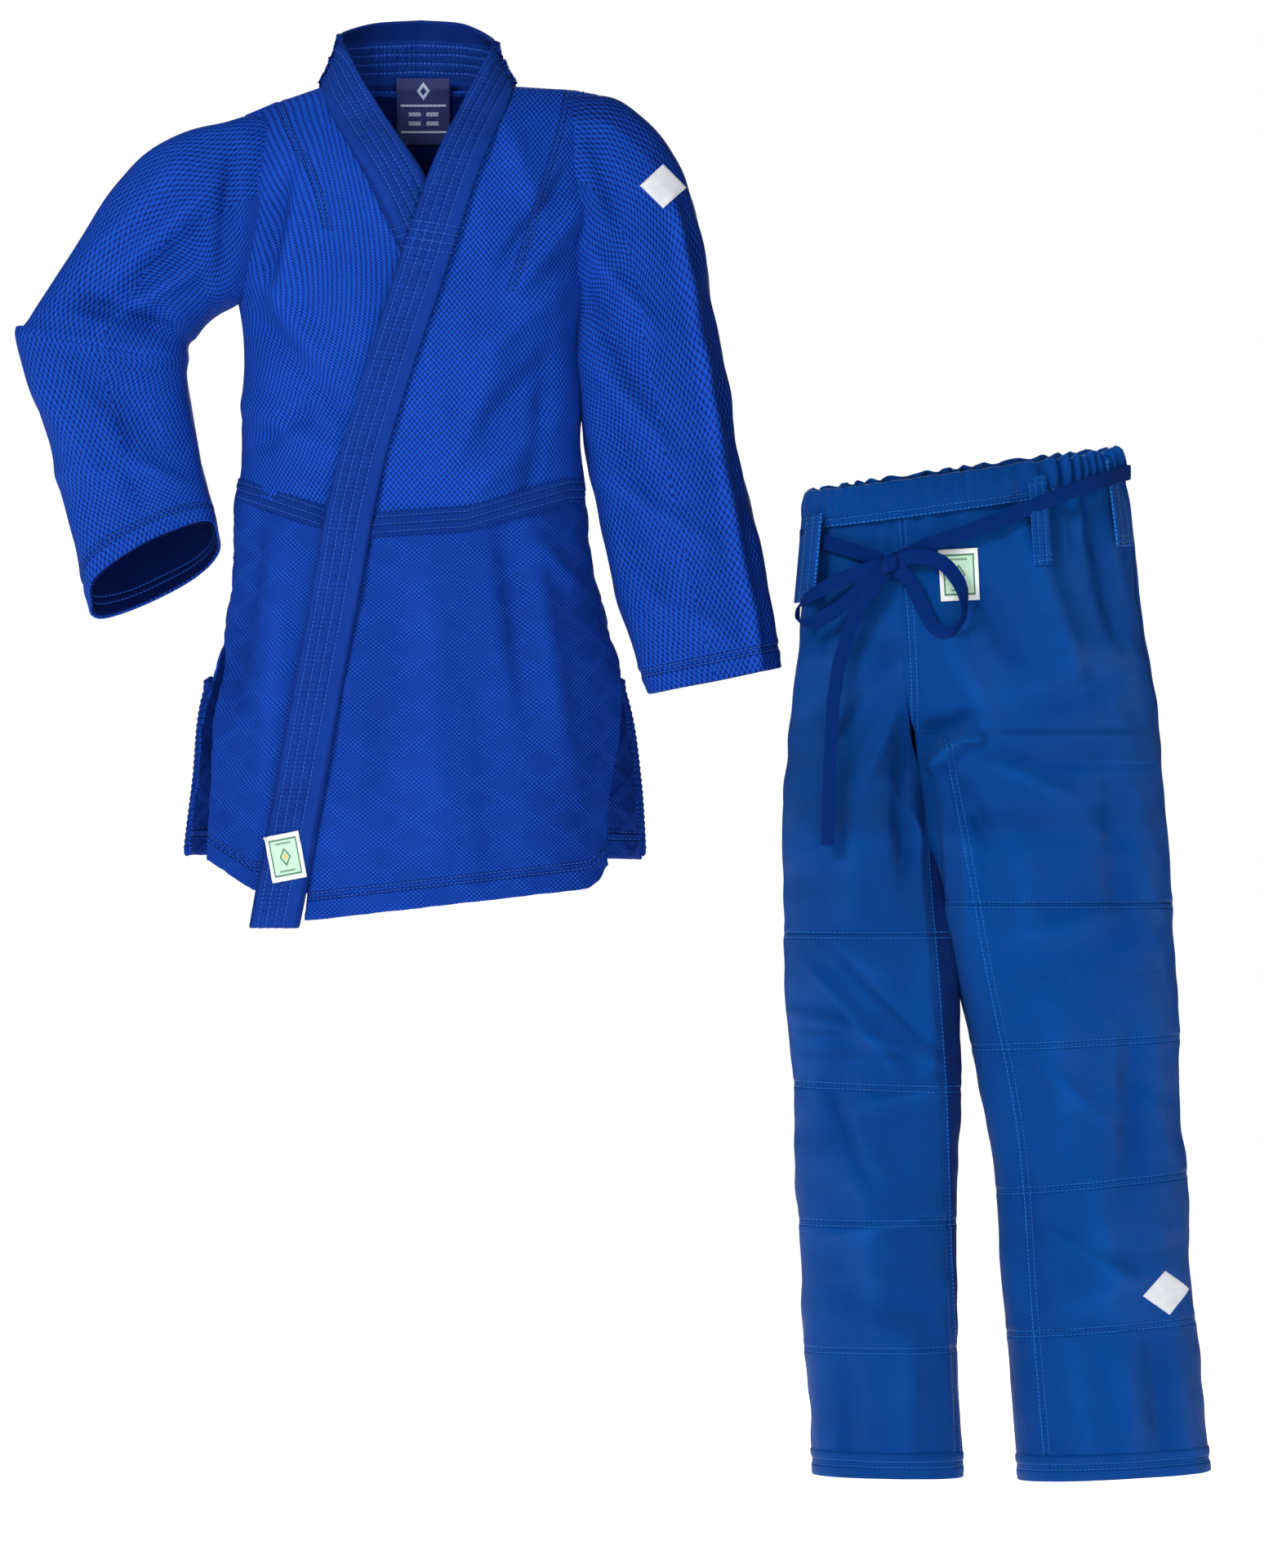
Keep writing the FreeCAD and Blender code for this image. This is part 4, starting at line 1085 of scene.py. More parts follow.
# painted shade: the lining and cuff facings are coloured far darker than the outer cloth, for the shade
# inside the neck and sleeves
SHADED_LINING = Twill("shaded_lining_twill", dark=colour(0.0008, 0.005, 0.05), light=colour(0.002, 0.016, 0.15))
TROUSER = Twill(
    "trouser_twill", dark=colour(0.0004, 0.014, 0.13), light=colour(0.0010, 0.118, 0.53),
    thread_colour=colour(0.010, 0.14, 0.50), roughness=0.46, sheen=0.03, gloss=0.07, contrast=0.14,
)
TAPE = Twill(
    "tape_weave", dark=colour(0.0005, 0.007, 0.06), light=colour(0.0015, 0.036, 0.25), pitch=0.0018,
    contrast=0.5,
)
SATIN, WOVEN, PRINTED = Satin(), WovenLabel(), PrintedLabel()


# ------------------------------------------------------------------ jacket body
@dataclass(frozen=True)
class JacketForm:
    """The body inside the jacket: reaches and depths by height, and the shoulder line."""

    left: Line = (
        (0.0, 0.160), (-0.08, 0.172), (-0.20, 0.160), (-0.28, 0.150), (-0.42, 0.152),
        (-0.55, 0.176), (-0.62, 0.204), (-0.70, 0.217), (-0.77, 0.2216), (-0.86, 0.224),
    )
    right: Line = (
        (0.0, 0.160), (-0.08, 0.176), (-0.20, 0.180), (-0.30, 0.170), (-0.42, 0.178),
        (-0.58, 0.197), (-0.62, 0.210), (-0.70, 0.219), (-0.776, 0.228), (-0.86, 0.232),
    )
    front: Line = ((0.0, 0.060), (-0.10, 0.082), (-0.23, 0.092), (-0.30, 0.094), (-0.86, 0.104))
    back: Line = ((0.0, 0.070), (-0.10, 0.090), (-0.23, 0.102), (-0.30, 0.104), (-0.86, 0.112))
    shoulder: Line = (
        (-0.200, -0.072), (-0.168, -0.048), (-0.130, -0.030), (-0.092, -0.016), (0.0896, -0.016),
        (0.152, -0.020), (0.184, -0.026), (0.230, -0.060),
    )
    round_over: float = 0.085
    neck: Point = (0.0885, 0.0665)

    def top(self, x: Array) -> Array:
        """Height of the shoulder line at x."""
        return line_at(self.shoulder, x)

    def reach(self, x: Array, z: Array, wrap: float) -> Array:
        """Distance from the middle to the side that x is on, and wrap more."""
        return np.where(x > 0, level_curve(self.left, z), level_curve(self.right, z)) + wrap

    def place(
        self, x: Array, z: Array, face: Face, wrap: float = 0.0, ahead: Array | None = None,
    ) -> Array:
        """Depth of the cloth at (x, z): an ellipse across, rounded over towards the shoulder.

        Args:
            x: across the body.
            z: height.
            face: front or back.
            wrap: extra distance outwards.
            ahead: share of the full depth, if it is known already.

        Returns:
            The points of the surface.
        """
        side = np.clip(np.abs(x) / self.reach(x, z, wrap), 0, 0.9995)
        depth = level_curve(self.front if face is Face.FRONT else self.back, z) + wrap
        full = depth * (np.sqrt(1 - side**2) if ahead is None else ahead)
        rim = self.neck[1] * np.sqrt(np.clip(1 - (x / self.neck[0]) ** 2, 0, 1)) * (face is Face.BACK)
        fall = 1 - np.clip((self.top(x) - z) / self.round_over, 0, 1)
        y = rim + (full - rim) * np.sqrt(1 - fall**2)
        return np.stack([x, face.value * y, z + 0 * x], axis=-1)


FORM = JacketForm()
WRAP = 0.013
CHEST_ARC, CHEST_CHORD = 0.42, 0.36


@dataclass(frozen=True)
class Panel:
    """One panel of the jacket between two upright edges, given as (height, x) tables."""

    inner: Line
    outer: Line
    top: Line
    bottom: Line
    face: Face = Face.FRONT
    wrap: float = 0.0
    step: float = 0.003

    def grid(self) -> Patch:
        """Rows run down from the top line; columns turn by equal angles round the body.

        The angle of a column is mixed evenly between the angles of the two edges.

        Returns:
            The panel's outer face.
        """
        highest = max(height for _, height in self.top)
        span = abs(min(height for _, height in self.bottom) - highest)
        rows = max(int(span / self.step), 8)
        t = np.linspace(0, 1, rows)[:, None]
        columns = max(int(CHEST_ARC * abs(self.width()) / self.step / CHEST_CHORD), 12)
        share = np.linspace(0, 1, columns)[None, :]
        level = highest + (self.mean_bottom() - highest) * t
        angles = []
        for table in (self.inner, self.outer):
            x = level_curve(table, level)
            angles.append(np.arcsin(np.clip(x / FORM.reach(x, level, self.wrap), -1, 1)))
        angle = angles[0] + (angles[1] - angles[0]) * share
        x = np.sin(angle) * FORM.reach(angle, level, self.wrap)
        top, bottom = line_at(self.top, x), line_at(self.bottom, x)
        z = top + (bottom - top) * t**1.15
        x = np.sin(angle) * FORM.reach(angle, z, self.wrap)
        points = FORM.place(x, z, self.face, self.wrap, np.cos(angle))
        weave = np.stack([arc(points, 1) + x[:, :1], -z], axis=-1)
        outward = np.stack([x * 0.6, np.full_like(x, self.face.value), 0 * x], axis=-1)
        return Patch(points, weave, outward)

    def width(self) -> float:
        """Widest distance between the two edges."""
        return max(abs(a[1] - b[1]) for a in self.inner for b in self.outer)

    def mean_bottom(self) -> float:
        """Middle height of the bottom line."""
        return sum(p[1] for p in self.bottom) / len(self.bottom)


SHOULDER_LINE = FORM.shoulder
WAIST_LINE = (
    (-0.26, -0.412), (-0.184, -0.412), (-0.09, -0.444), (-0.04, -0.452), (0.05, -0.446), (0.15, -0.416),
    (0.25, -0.408),
)
HEM_LEFT = ((-0.16, -0.842), (0.168, -0.805), (0.180, -0.796), (0.190, -0.778), (0.25, -0.770))
HEM_RIGHT = ((-0.25, -0.772), (-0.205, -0.778), (-0.16, -0.806), (0.06, -0.820))
HEM_BACK = ((-0.30, -0.772), (0.30, -0.778))
LEFT_EDGE = (
    (-0.016, 0.0850), (-0.048, 0.0770), (-0.096, 0.0590), (-0.16, 0.0400), (-0.212, 0.0230),
    (-0.304, -0.0090),
    (-0.368, -0.0290), (-0.432, -0.0430), (-0.528, -0.0610), (-0.616, -0.0770), (-0.704, -0.0930),
    (-0.80, -0.107),
    (-0.86, -0.119),
)
RIGHT_EDGE = (
    (-0.016, -0.0860), (-0.056, -0.0700), (-0.096, -0.0500), (-0.176, -0.0060), (-0.25, 0.030),
    (-0.86, 0.030),
)
LEFT_SIDE = tuple((z, x + WRAP) for z, x in FORM.left)
RIGHT_SIDE = tuple((z, -x) for z, x in FORM.right)
LEFT_VENT_EDGE = (
    (-0.40, 0.166), (-0.50, 0.174), (-0.58, 0.200), (-0.615, 0.2120), (-0.65, 0.2060), (-0.79, 0.1880),
    (-0.86, 0.186),
)
RIGHT_VENT_EDGE = (
    (-0.40, -0.177), (-0.50, -0.187), (-0.58, -0.197), (-0.65, -0.201), (-0.76, -0.206), (-0.86, -0.207),
)

CHEST_FOLDS = folds_of(
    (-128, -110, -150, -230, 10, -7), (-110, -100, -128, -220, 12, 5), (-160, -200, -80, -300, 12, 5),
    (-165, -235, -60, -355, 10, -4), (-170, -330, -60, -395, 11, 4), (-165, -380, -90, -330, 10, -4),
    (152, -100, 85, -195, 7, -4), (165, -130, 95, -225, 10, 6), (150, -210, 60, -290, 12, 5),
    (145, -270, 70, -350, 11, -5), (144, -340, 40, -430, 13, 5), (130, -300, 110, -420, 10, -4),
    (80, -300, 30, -400, 12, 3), (90, -60, 120, -150, 12, 3),
)
SKIRT_FOLDS = folds_of(
    (-150, -440, -185, -640, 12, -5), (-130, -470, -150, -760, 16, 5), (110, -450, 150, -700, 14, 5),
    (85, -450, 110, -640, 12, -5), (10, -470, 20, -800, 22, 4), (-30, -500, -40, -780, 18, -3),
    (60, -600, 80, -830, 16, -3), (160, -520, 120, -470, 10, 4),
)
BACK_FOLDS = folds_of(
    (-140, -130, -30, -300, 18, 5), (140, -130, 40, -300, 18, 5), (-100, -200, -20, -380, 13, -4),
    (100, -220, 30, -380, 13, -4), (0, -100, 0, -360, 20, -3), (-110, -450, -140, -740, 18, 5),
    (20, -460, 30, -740, 20, 4), (120, -450, 150, -740, 18, 5), (-40, -470, -50, -700, 14, -4),
)


def upright(points: Array, table: Line) -> tuple[Array, Array]:
    """Distance from an upright seam given as (height, x), and the height along it."""
    x, z = points[..., 0], points[..., 2]
    return np.where(z < table[-1][0], FAR_AWAY, x - level_curve(table, z)), z


def level_seam(points: Array, table: Line) -> tuple[Array, Array]:
    """Distance from a level seam given as (x, height), and the place along it."""
    x, z = points[..., 0], points[..., 2]
    return z - line_at(table, x), x


@dataclass(frozen=True)
class JacketBody:
    """Back, fronts, skirt, waist band, linings and vent edges of the jacket."""

    shop: Workshop
    cloth: float = 0.003
    lining_cloth: float = 0.0012
    band_top: float = 0.011
    band_lift: float = 0.0025
    band_row: float = 0.0038
    hem_row: float = 0.022
    lining_reach: float = 0.118
    vent_top: float = -0.598
    vent_foot: float = -0.775
    vent_radius: float = 0.0036

    def build(self) -> None:
        """Make every piece of the body."""
        left, right = (LEFT_EDGE, LEFT_SIDE), (RIGHT_EDGE, RIGHT_SIDE)
        around, body = (FORM.left, RIGHT_SIDE), (SHOULDER_LINE, WAIST_LINE)
        front, back = Face.FRONT, Face.BACK
        self.panel("jacket_left_front", Panel(*left, *body, front, WRAP), GRAIN, OPENING,
                   ("left_front_panel", "left_front_yoke"), CHEST_FOLDS, LEFT_YOKE)
        self.panel("jacket_right_front", Panel(*right, *body), GRAIN, JACKET,
                   ("right_front_panel",), CHEST_FOLDS, RIGHT_YOKE)
        self.panel("jacket_back", Panel(*around, *body, back), GRAIN, JACKET,
                   ("back_panel",), BACK_FOLDS, BACK_YOKE)
        self.panel("skirt_front_left", Panel(LEFT_EDGE, LEFT_VENT_EDGE, WAIST_LINE, HEM_LEFT, front, WRAP),
                   QUILT, SKIRT_OPENING, ("skirt_left_front", "left_side_panel"), SKIRT_FOLDS, hem=HEM_LEFT)
        self.panel("skirt_front_right", Panel(RIGHT_EDGE, RIGHT_VENT_EDGE, WAIST_LINE, HEM_RIGHT),
                   QUILT, JACKET, ("skirt_right_front",), SKIRT_FOLDS, hem=HEM_RIGHT)
        self.panel("skirt_rear", Panel(*around, WAIST_LINE, HEM_BACK, back),
                   QUILT, JACKET, ("skirt_back",), BACK_FOLDS, hem=HEM_BACK)
        self.band("waist_seam_left", left, front, WRAP, SKIRT_OPENING, "waist_band_left_front")
        self.band("waist_seam_right", right, front, 0.0, JACKET, "waist_band_right_front")
        self.band("waist_seam_back", around, back, 0.0, JACKET, "waist_band_back")
        for hand in (Hand.LEFT, Hand.RIGHT):
            self.lining(hand)
        self.vent(Hand.LEFT, FORM.left)
        self.vent(Hand.RIGHT, FORM.right)

    def panel(
        self, name: str, panel: Panel, kind: Cloth, move: Move, nodes: tuple[str, ...],
        folds: tuple[Fold, ...], yoke: tuple[Line, ...] = (), hem: Line = (),
    ) -> None:
        """One large panel with its folds, seams and hem rows.

        Args:
            name: name of the piece.
            panel: its form.
            kind: its finish.
            move: what it moves with.
            nodes: the plain solids that it stands in for.
            folds: ridges and valleys across it.
            yoke: upright seams, from their tops down.
            hem: its lower edge, if it has a stitched hem.
        """
        patch = panel.grid()
        x, z = patch.points[..., 0], patch.points[..., 2]
        calm = ease(FORM.top(x) - z, 0.0, 0.05)
        slow, quick = ripple(x, z, 0.11, 5 + len(name)), ripple(x, z, 0.045, 11 + len(name))
        uneven = slow * 0.0030 + quick * 0.0010
        raise_folds(patch, (relief(folds, x, z) * 1.5 + uneven) * calm)
        if isinstance(kind, Quilt):
            u, v = patch.weave[..., 0] / kind.diamond[0], patch.weave[..., 1] / kind.diamond[1]
            near = np.maximum(np.abs((u + v) % 1 - 0.5), np.abs((u - v) % 1 - 0.5)) * 2
            raise_folds(patch, -0.0010 * ease(near, 1 - kind.band * 1.6, 1.0))
        lines = [upright(patch.points, table) for table in yoke]
        if hem:
            lifted = tuple((place, height + self.hem_row) for place, height in hem)
            lines.append(level_seam(patch.points, lifted))
        patch.seam = nearest(*lines)
        press(patch, patch.seam, 0.0004 if yoke else 0.0011)
        # painted shade towards both sides of the body, stronger on the wearer's left and on the quilt, and
        # painted light and shade on fold crests and hollows
        shade = 0.5 * ease(x, 0.08, 0.19) * (1 if kind is QUILT else 0.5) + 0.25 * ease(-x, 0.12, 0.19)
        patch.painted_shading = np.clip(relief(folds, x, z) * 45, -0.4, 0.3) - shade
        self.shop.cloth(name, patch, self.cloth, kind, move, nodes, Held.HUNG)

    def band(
        self, name: str, edges: tuple[Line, Line], face: Face, wrap: float, move: Move, node: str,
    ) -> None:
        """Narrow band over the waist seam with three rows of stitches.

        Args:
            name: name of the piece.
            edges: its two upright edges.
            face: front or back.
            wrap: how far outside the body the cloth under it lies.
            move: what it moves with.
            node: the plain solid that it stands in for.
        """
        top = tuple((x, z + self.band_top) for x, z in WAIST_LINE)
        bottom = tuple((x, z - self.band_top) for x, z in WAIST_LINE)
        patch = Panel(*edges, top, bottom, face, wrap + self.band_lift, 0.0015).grid()
        across, along = level_seam(patch.points, WAIST_LINE)
        patch.seam = np.stack([across, along], axis=-1)
        x, z = patch.points[..., 0], patch.points[..., 2]
        in_front = face is Face.FRONT
        folds = SKIRT_FOLDS if in_front else BACK_FOLDS
        shared = relief(folds, x, z) * 1.4 + relief(CHEST_FOLDS, x, z) * in_front
        rows = np.exp(-((np.abs(np.abs(across) - self.band_row) / 0.0022) ** 2)) * 0.0007
        raise_folds(patch, shared * 0.8 + rows + ripple(x, z, 0.010, 3) * 0.0004)
        self.shop.cloth(name, patch, self.cloth, BAND, move, (node,))

    def lining(self, hand: Hand) -> None:
        """Smooth lining inside the back of the neck, from the collar to below the yoke.

        Args:
            hand: the side that it lies on.
        """
        s = np.linspace(0, 1, 50)[None, :]
        t = np.linspace(0, 1, 40)[:, None]
        x = hand.value * self.lining_reach * s + 0 * t
        z = FORM.top(x) - 0.006 - 0.10 * t
        points = FORM.place(x, z, Face.BACK)
        points[..., 1] -= 0.0065
        seam = nearest((z - z[-1:] - 0.010, x))
        patch = Patch(points, np.stack([x, -z], axis=-1), looking(x, -1.0), seam=seam)
        name, node = f"neck_lining_{hand.word()}", f"shoulder_lining_{hand.word()}"
        self.shop.cloth(name, patch, self.lining_cloth, SHADED_LINING, JACKET, (node,))

    def vent(self, hand: Hand, side: Line) -> None:
        """Twisted rolled edge down the open side of the skirt, with a cap at its top.

        Its radius is a base, plus a sine for the twist, plus a bell for the cap, and it
        closes by a square root at both ends.

        Args:
            hand: the side that it lies on.
            side: reach of the body on that side, by height.
        """
        z = np.linspace(self.vent_top, self.vent_foot, 240)
        path = np.stack([hand.value * level_curve(side, z), 0 * z + 0.003, z], axis=-1)
        twist = 0.0004 * np.sin(z * 2 * math.pi / 0.006)
        swell = self.vent_radius + twist + 0.0026 * np.exp(-(((z + 0.604) / 0.006) ** 2))
        swell = swell * np.sqrt(np.clip((-0.5975 - z) / 0.006, 0.02, 1))
        swell = swell * np.sqrt(np.clip((z + 0.776) / 0.006, 0.02, 1))
        name, node = f"vent_cord_{hand.word()}", f"vent_binding_{hand.word()}"
        self.shop.cloth(name, tube_patch(path, swell, 20), self.lining_cloth, BAND, JACKET, (node,))


LEFT_YOKE = (((-0.02, 0.150), (-0.056, 0.144), (-0.12, 0.126), (-0.228, 0.092)),)
RIGHT_YOKE = (((-0.02, -0.142), (-0.056, -0.128), (-0.112, -0.100), (-0.164, -0.085)),)
BACK_YOKE = (((-0.02, -0.0), (-0.86, 0.0)),)


def tube_patch(path: Array, radius: Array, columns: int) -> Patch:
    """Round tube along a path: a circle at each point in the plane across the path.

    Args:
        path: points of the middle line.
        radius: radius at each point.
        columns: points round the circle.

    Returns:
        The tube as a closed patch.
    """
    ahead = unit(np.gradient(path, axis=0))
    side = unit(np.cross(ahead, np.array([0.31, 0.93, 0.17])))
    up = np.cross(side, ahead)
    turn = np.linspace(0, 2 * math.pi, columns + 1)[None, :, None]
    outward = side[:, None] * np.cos(turn) + up[:, None] * np.sin(turn)
    points = path[:, None] + outward * radius[:, None, None]
    down = arc(path[:, None], 0)
    weave = np.stack([turn[..., 0] * radius[:, None], down + 0 * turn[..., 0]], axis=-1)
    return Patch(points, weave, outward, closed=True)


# ------------------------------------------------------------------ collar and lapels
CROSS_SEAM = 0.36


@dataclass(frozen=True)
class LapelPath:
    """The two long edges of a collar and lapel, as (x, y, z) from the back of the neck down.

    Where y is None the edge lies on the front of the body.
    """

    inner: tuple[tuple[float, float | None, float], ...]
    outer: tuple[tuple[float, float | None, float], ...]
    wrap: float
    lift: float = 0.0055
    rows: int = 620

    def edge(self, rows: tuple[tuple[float, float | None, float], ...], count: int) -> Array:
        """Points along one edge, evenly spaced by length.

        Args:
            rows: the edge's table.
            count: how many points to give.

        Returns:
            The points.
        """
        known = np.array([[x, np.nan if y is None else y, z] for x, y, z in rows])
        lie = self.chest(known)
        known[:, 1] = np.where(np.isnan(known[:, 1]), lie, known[:, 1])
        return evenly(known, count)

    def chest(self, points: Array) -> Array:
        """Depth of the band where it lies on the front of the body."""
        return FORM.place(points[..., 0], points[..., 2], Face.FRONT, self.wrap)[..., 1] - self.lift

    def patch(self) -> Patch:
        """Strip between the edges, domed by 1 - (2s - 1)^6 and puckered between the rows.

        Returns:
            The band's outer face.
        """
        count = self.rows
        inner, outer = self.edge(self.inner, count), self.edge(self.outer, count)
        share = np.linspace(0, 1, 44)[None, :, None]
        points = inner[:, None] * (1 - share) + outer[:, None] * share
        s = share[..., 0] + np.zeros((count, 1))
        on_body = self.lying(points)
        body = self.chest(points)
        clear = np.where(points[..., 1] < 0, np.minimum(points[..., 1], body), points[..., 1])
        points[..., 1] = clear * (1 - on_body) + body * on_body
        along = arc(points.mean(axis=1)[:, None], 0) + 0 * s
        width = np.linalg.norm(outer - inner, axis=-1)[:, None]
        across = (s - 0.5) * width
        weave = np.stack([across, along], axis=-1)
        outward = np.stack([points[..., 0] * 1.5, points[..., 1], 0 * s + 0.01], axis=-1)
        patch = Patch(points, weave, outward, seam=np.stack([across, along], axis=-1))
        dome = 0.0016 * (1 - np.abs(2 * s - 1) ** 6)
        gap = np.abs(across[..., None] - np.array(LAPEL_ROWS)).min(axis=-1)
        inside = ease(across, -0.020, -0.0165) * (1 - ease(across, 0.010, 0.0125))
        valley = -0.0009 * np.exp(-((gap / 0.0014) ** 2))
        gather = ripple(across * 0.35, along, 0.0085, 4) * 0.0011 * inside * ease(gap, 0.0004, 0.003)
        plain = 0.0006 * ease(across, 0.0115, 0.014)
        drape = ripple(across * 0.2, along, 0.09, 9) * 0.0014
        raise_folds(patch, dome + valley + gather + plain + drape)
        cross_seam = along - CROSS_SEAM
        patch.seam_b = np.stack([np.where(np.abs(cross_seam) < 0.02, cross_seam, FAR_AWAY), across], axis=-1)
        # painted light and shade on the gathers between the stitch rows, and painted shade along both rolled
        # edges
        patch.painted_shading = gather * 220 - 0.7 * ease(np.abs(across), 0.0205, 0.0235)
        return patch

    def lying(self, points: Array) -> Array:
        """1 where the strip rests on the chest and 0 round the neck."""
        return 1 - ease(points[..., 2], -0.11, -0.05)


LEFT_LAPEL = LapelPath(
    inner=(
        (0.0, 0.066, 0.054), (0.048, 0.052, 0.0485), (0.0688, 0.028, 0.037), (0.0765, -0.004, 0.026),
        (0.066, -0.036, 0.000), (0.040, -0.066, -0.048), (0.012, None, -0.1136), (-0.0104, None, -0.18),
        (-0.032, None, -0.248), (-0.056, None, -0.328), (-0.0736, None, -0.384), (-0.084, None, -0.424),
        (-0.1, None, -0.512), (-0.116, None, -0.60), (-0.132, None, -0.68), (-0.148, None, -0.768),
        (-0.1620, None, -0.8425),
    ),
    outer=(
        (0.0, 0.079, -0.026), (0.062, 0.064, -0.026), (0.094, 0.030, -0.020), (0.0950, -0.006, -0.014),
        (0.0905, -0.040, -0.032), (0.0816, -0.066, -0.056), (0.064, None, -0.100), (0.0448, None, -0.16),
        (0.028, None, -0.212), (-0.004, None, -0.304), (-0.024, None, -0.368), (-0.0384, None, -0.432),
        (-0.056, None, -0.528), (-0.072, None, -0.616), (-0.088, None, -0.704), (-0.1, None, -0.776),
        (-0.1136, None, -0.8425),
    ),
    wrap=WRAP,
)
RIGHT_LAPEL = LapelPath(
    inner=(
        (-0.0, 0.066, 0.054), (-0.048, 0.052, 0.0495), (-0.0688, 0.028, 0.042), (-0.0765, -0.004, 0.033),
        (-0.064, -0.038, 0.004), (-0.032, -0.064, -0.048), (0.012, None, -0.116), (0.036, None, -0.17),
        (0.060, None, -0.25), (0.082, None, -0.34), (0.100, None, -0.45),
    ),
    outer=(
        (-0.0, 0.079, -0.026), (-0.062, 0.064, -0.026), (-0.096, 0.030, -0.020), (-0.0950, -0.006, -0.014),
        (-0.0890, -0.044, -0.036), (-0.0730, -0.064, -0.066), (-0.056, -0.070, -0.096),
        (-0.030, None, -0.150), (-0.012, None, -0.19),
        (0.012, None, -0.27), (0.034, None, -0.36), (0.052, None, -0.47),
    ),
    wrap=0.0,
    lift=0.0045,
)


@dataclass(frozen=True)
class Lapels:
    """The collar and lapels, made as one long padded band on each side."""

    shop: Workshop
    outer: float = 0.005
    inner: float = 0.004

    def build(self) -> None:
        """Make both bands."""
        nodes = ("lapel_left_upper", "lapel_left_lower")
        self.shop.cloth("lapel_outer", LEFT_LAPEL.patch(), self.outer, LAPEL, OPENING, nodes)
        nodes = ("lapel_right", "collar")
        self.shop.cloth("lapel_inner", RIGHT_LAPEL.patch(), self.inner, LAPEL, JACKET, nodes)


# ------------------------------------------------------------------ sleeves
@dataclass(frozen=True)
class Station:
    """One section of a sleeve: its outer and inner edge seen from the front, and half its depth."""

    outer: Point
    inner: Point
    depth: float


ROUND_SLEEVE = np.linspace(-math.pi / 2, 1.5 * math.pi, 150)


@dataclass(frozen=True)
class SleeveForm:
    """Flattened tube through the stations."""

    stations: tuple[Station, ...]
    spacing: float = 0.003
    flat: float = 0.55

    def patch(self, start: float = 0.0, end: float = 1.0, tuck: float = 0.0) -> Patch:
        """Closed grid: middle + cos(a) x half width + sin(a) x half depth at each station.

        The sine is raised to the power 0.55, which fills the section out towards its edges.

        Args:
            start: share of the sleeve's length at the first row.
            end: share at the last row.
            tuck: how far inside the nominal surface it lies.

        Returns:
            The tube.
        """
        outer = np.array([s.outer for s in self.stations])
        inner = np.array([s.inner for s in self.stations])
        depth = np.array([s.depth for s in self.stations])
        middle = (outer + inner) / 2
        length = arc(middle[:, None], 0)[:, 0]
        rows = max(int(length[-1] * (end - start) / self.spacing), 6)
        at = np.linspace(start, end, rows) * length[-1]
        places = tuple(length)
        c, h = through(places, middle, at), through(places, (outer - inner) / 2, at)
        d = through(places, depth, at)
        h = h * (1 - tuck / np.linalg.norm(h, axis=-1, keepdims=True))
        d = d - tuck
        turn = ROUND_SLEEVE[None, :]
        wide = np.cos(turn)
        deep = np.sign(np.sin(turn)) * np.abs(np.sin(turn)) ** self.flat
        x = c[:, :1] + h[:, :1] * wide
        z = c[:, 1:] + h[:, 1:] * wide
        points = np.stack([x, d[:, None] * deep, z], axis=-1)
        weave = np.stack([arc(points, 1), at[:, None] + 0 * x], axis=-1)
        outward = np.stack([h[:, :1] * wide, d[:, None] * deep, h[:, 1:] * wide], axis=-1)
        return Patch(points, weave, outward, closed=True)


LEFT_SLEEVE = SleeveForm((
    Station((0.122, -0.044), (0.112, -0.170), 0.030), Station((0.152, -0.027), (0.128, -0.190), 0.044),
    Station((0.188, -0.027), (0.142, -0.205), 0.051),
    Station((0.240, -0.066), (0.153, -0.235), 0.054), Station((0.268, -0.120), (0.155, -0.262), 0.054),
    Station((0.284, -0.180), (0.156, -0.300), 0.053), Station((0.294, -0.242), (0.160, -0.340), 0.052),
    Station((0.308, -0.310), (0.166, -0.375), 0.051), Station((0.318, -0.372), (0.174, -0.415), 0.050),
    Station((0.338, -0.468), (0.1905, -0.500), 0.047), Station((0.359, -0.588), (0.2265, -0.6145), 0.044),
))
RIGHT_UPPER = SleeveForm((
    Station((-0.125, -0.056), (-0.125, -0.180), 0.030), Station((-0.160, -0.046), (-0.150, -0.205), 0.044),
    Station((-0.196, -0.054), (-0.172, -0.226), 0.052),
    Station((-0.248, -0.070), (-0.196, -0.240), 0.056), Station((-0.292, -0.108), (-0.208, -0.250), 0.056),
    Station((-0.336, -0.176), (-0.219, -0.264), 0.054), Station((-0.376, -0.236), (-0.227, -0.276), 0.050),
    Station((-0.388, -0.258), (-0.229, -0.292), 0.047),
))
RIGHT_LOWER = SleeveForm((
    Station((-0.393, -0.254), (-0.229, -0.270), 0.040), Station((-0.3945, -0.270), (-0.2285, -0.290), 0.049),
    Station((-0.376, -0.322), (-0.2245, -0.324), 0.053), Station((-0.3584, -0.384), (-0.2170, -0.368), 0.051),
    Station((-0.342, -0.454), (-0.2060, -0.414), 0.049), Station((-0.3256, -0.524), (-0.1952, -0.460), 0.046),
))
LEFT_SLEEVE_FOLDS = folds_of(
    (252, -134, 275, -250, 7, 6), (275, -250, 297, -370, 7, 6), (297, -370, 328, -545, 7, 5),
    (328, -520, 336, -600, 7, 4), (262, -130, 288, -250, 8, -4), (288, -250, 330, -480, 8, -4),
    (160, -170, 235, -260, 10, 5), (160, -215, 230, -330, 10, -5), (170, -290, 250, -380, 12, 5),
    (180, -350, 240, -430, 10, -4), (175, -400, 290, -470, 12, 4), (200, -450, 260, -540, 12, -4),
    (225, -520, 310, -560, 12, 3), (170, -60, 200, -160, 10, -5),
)
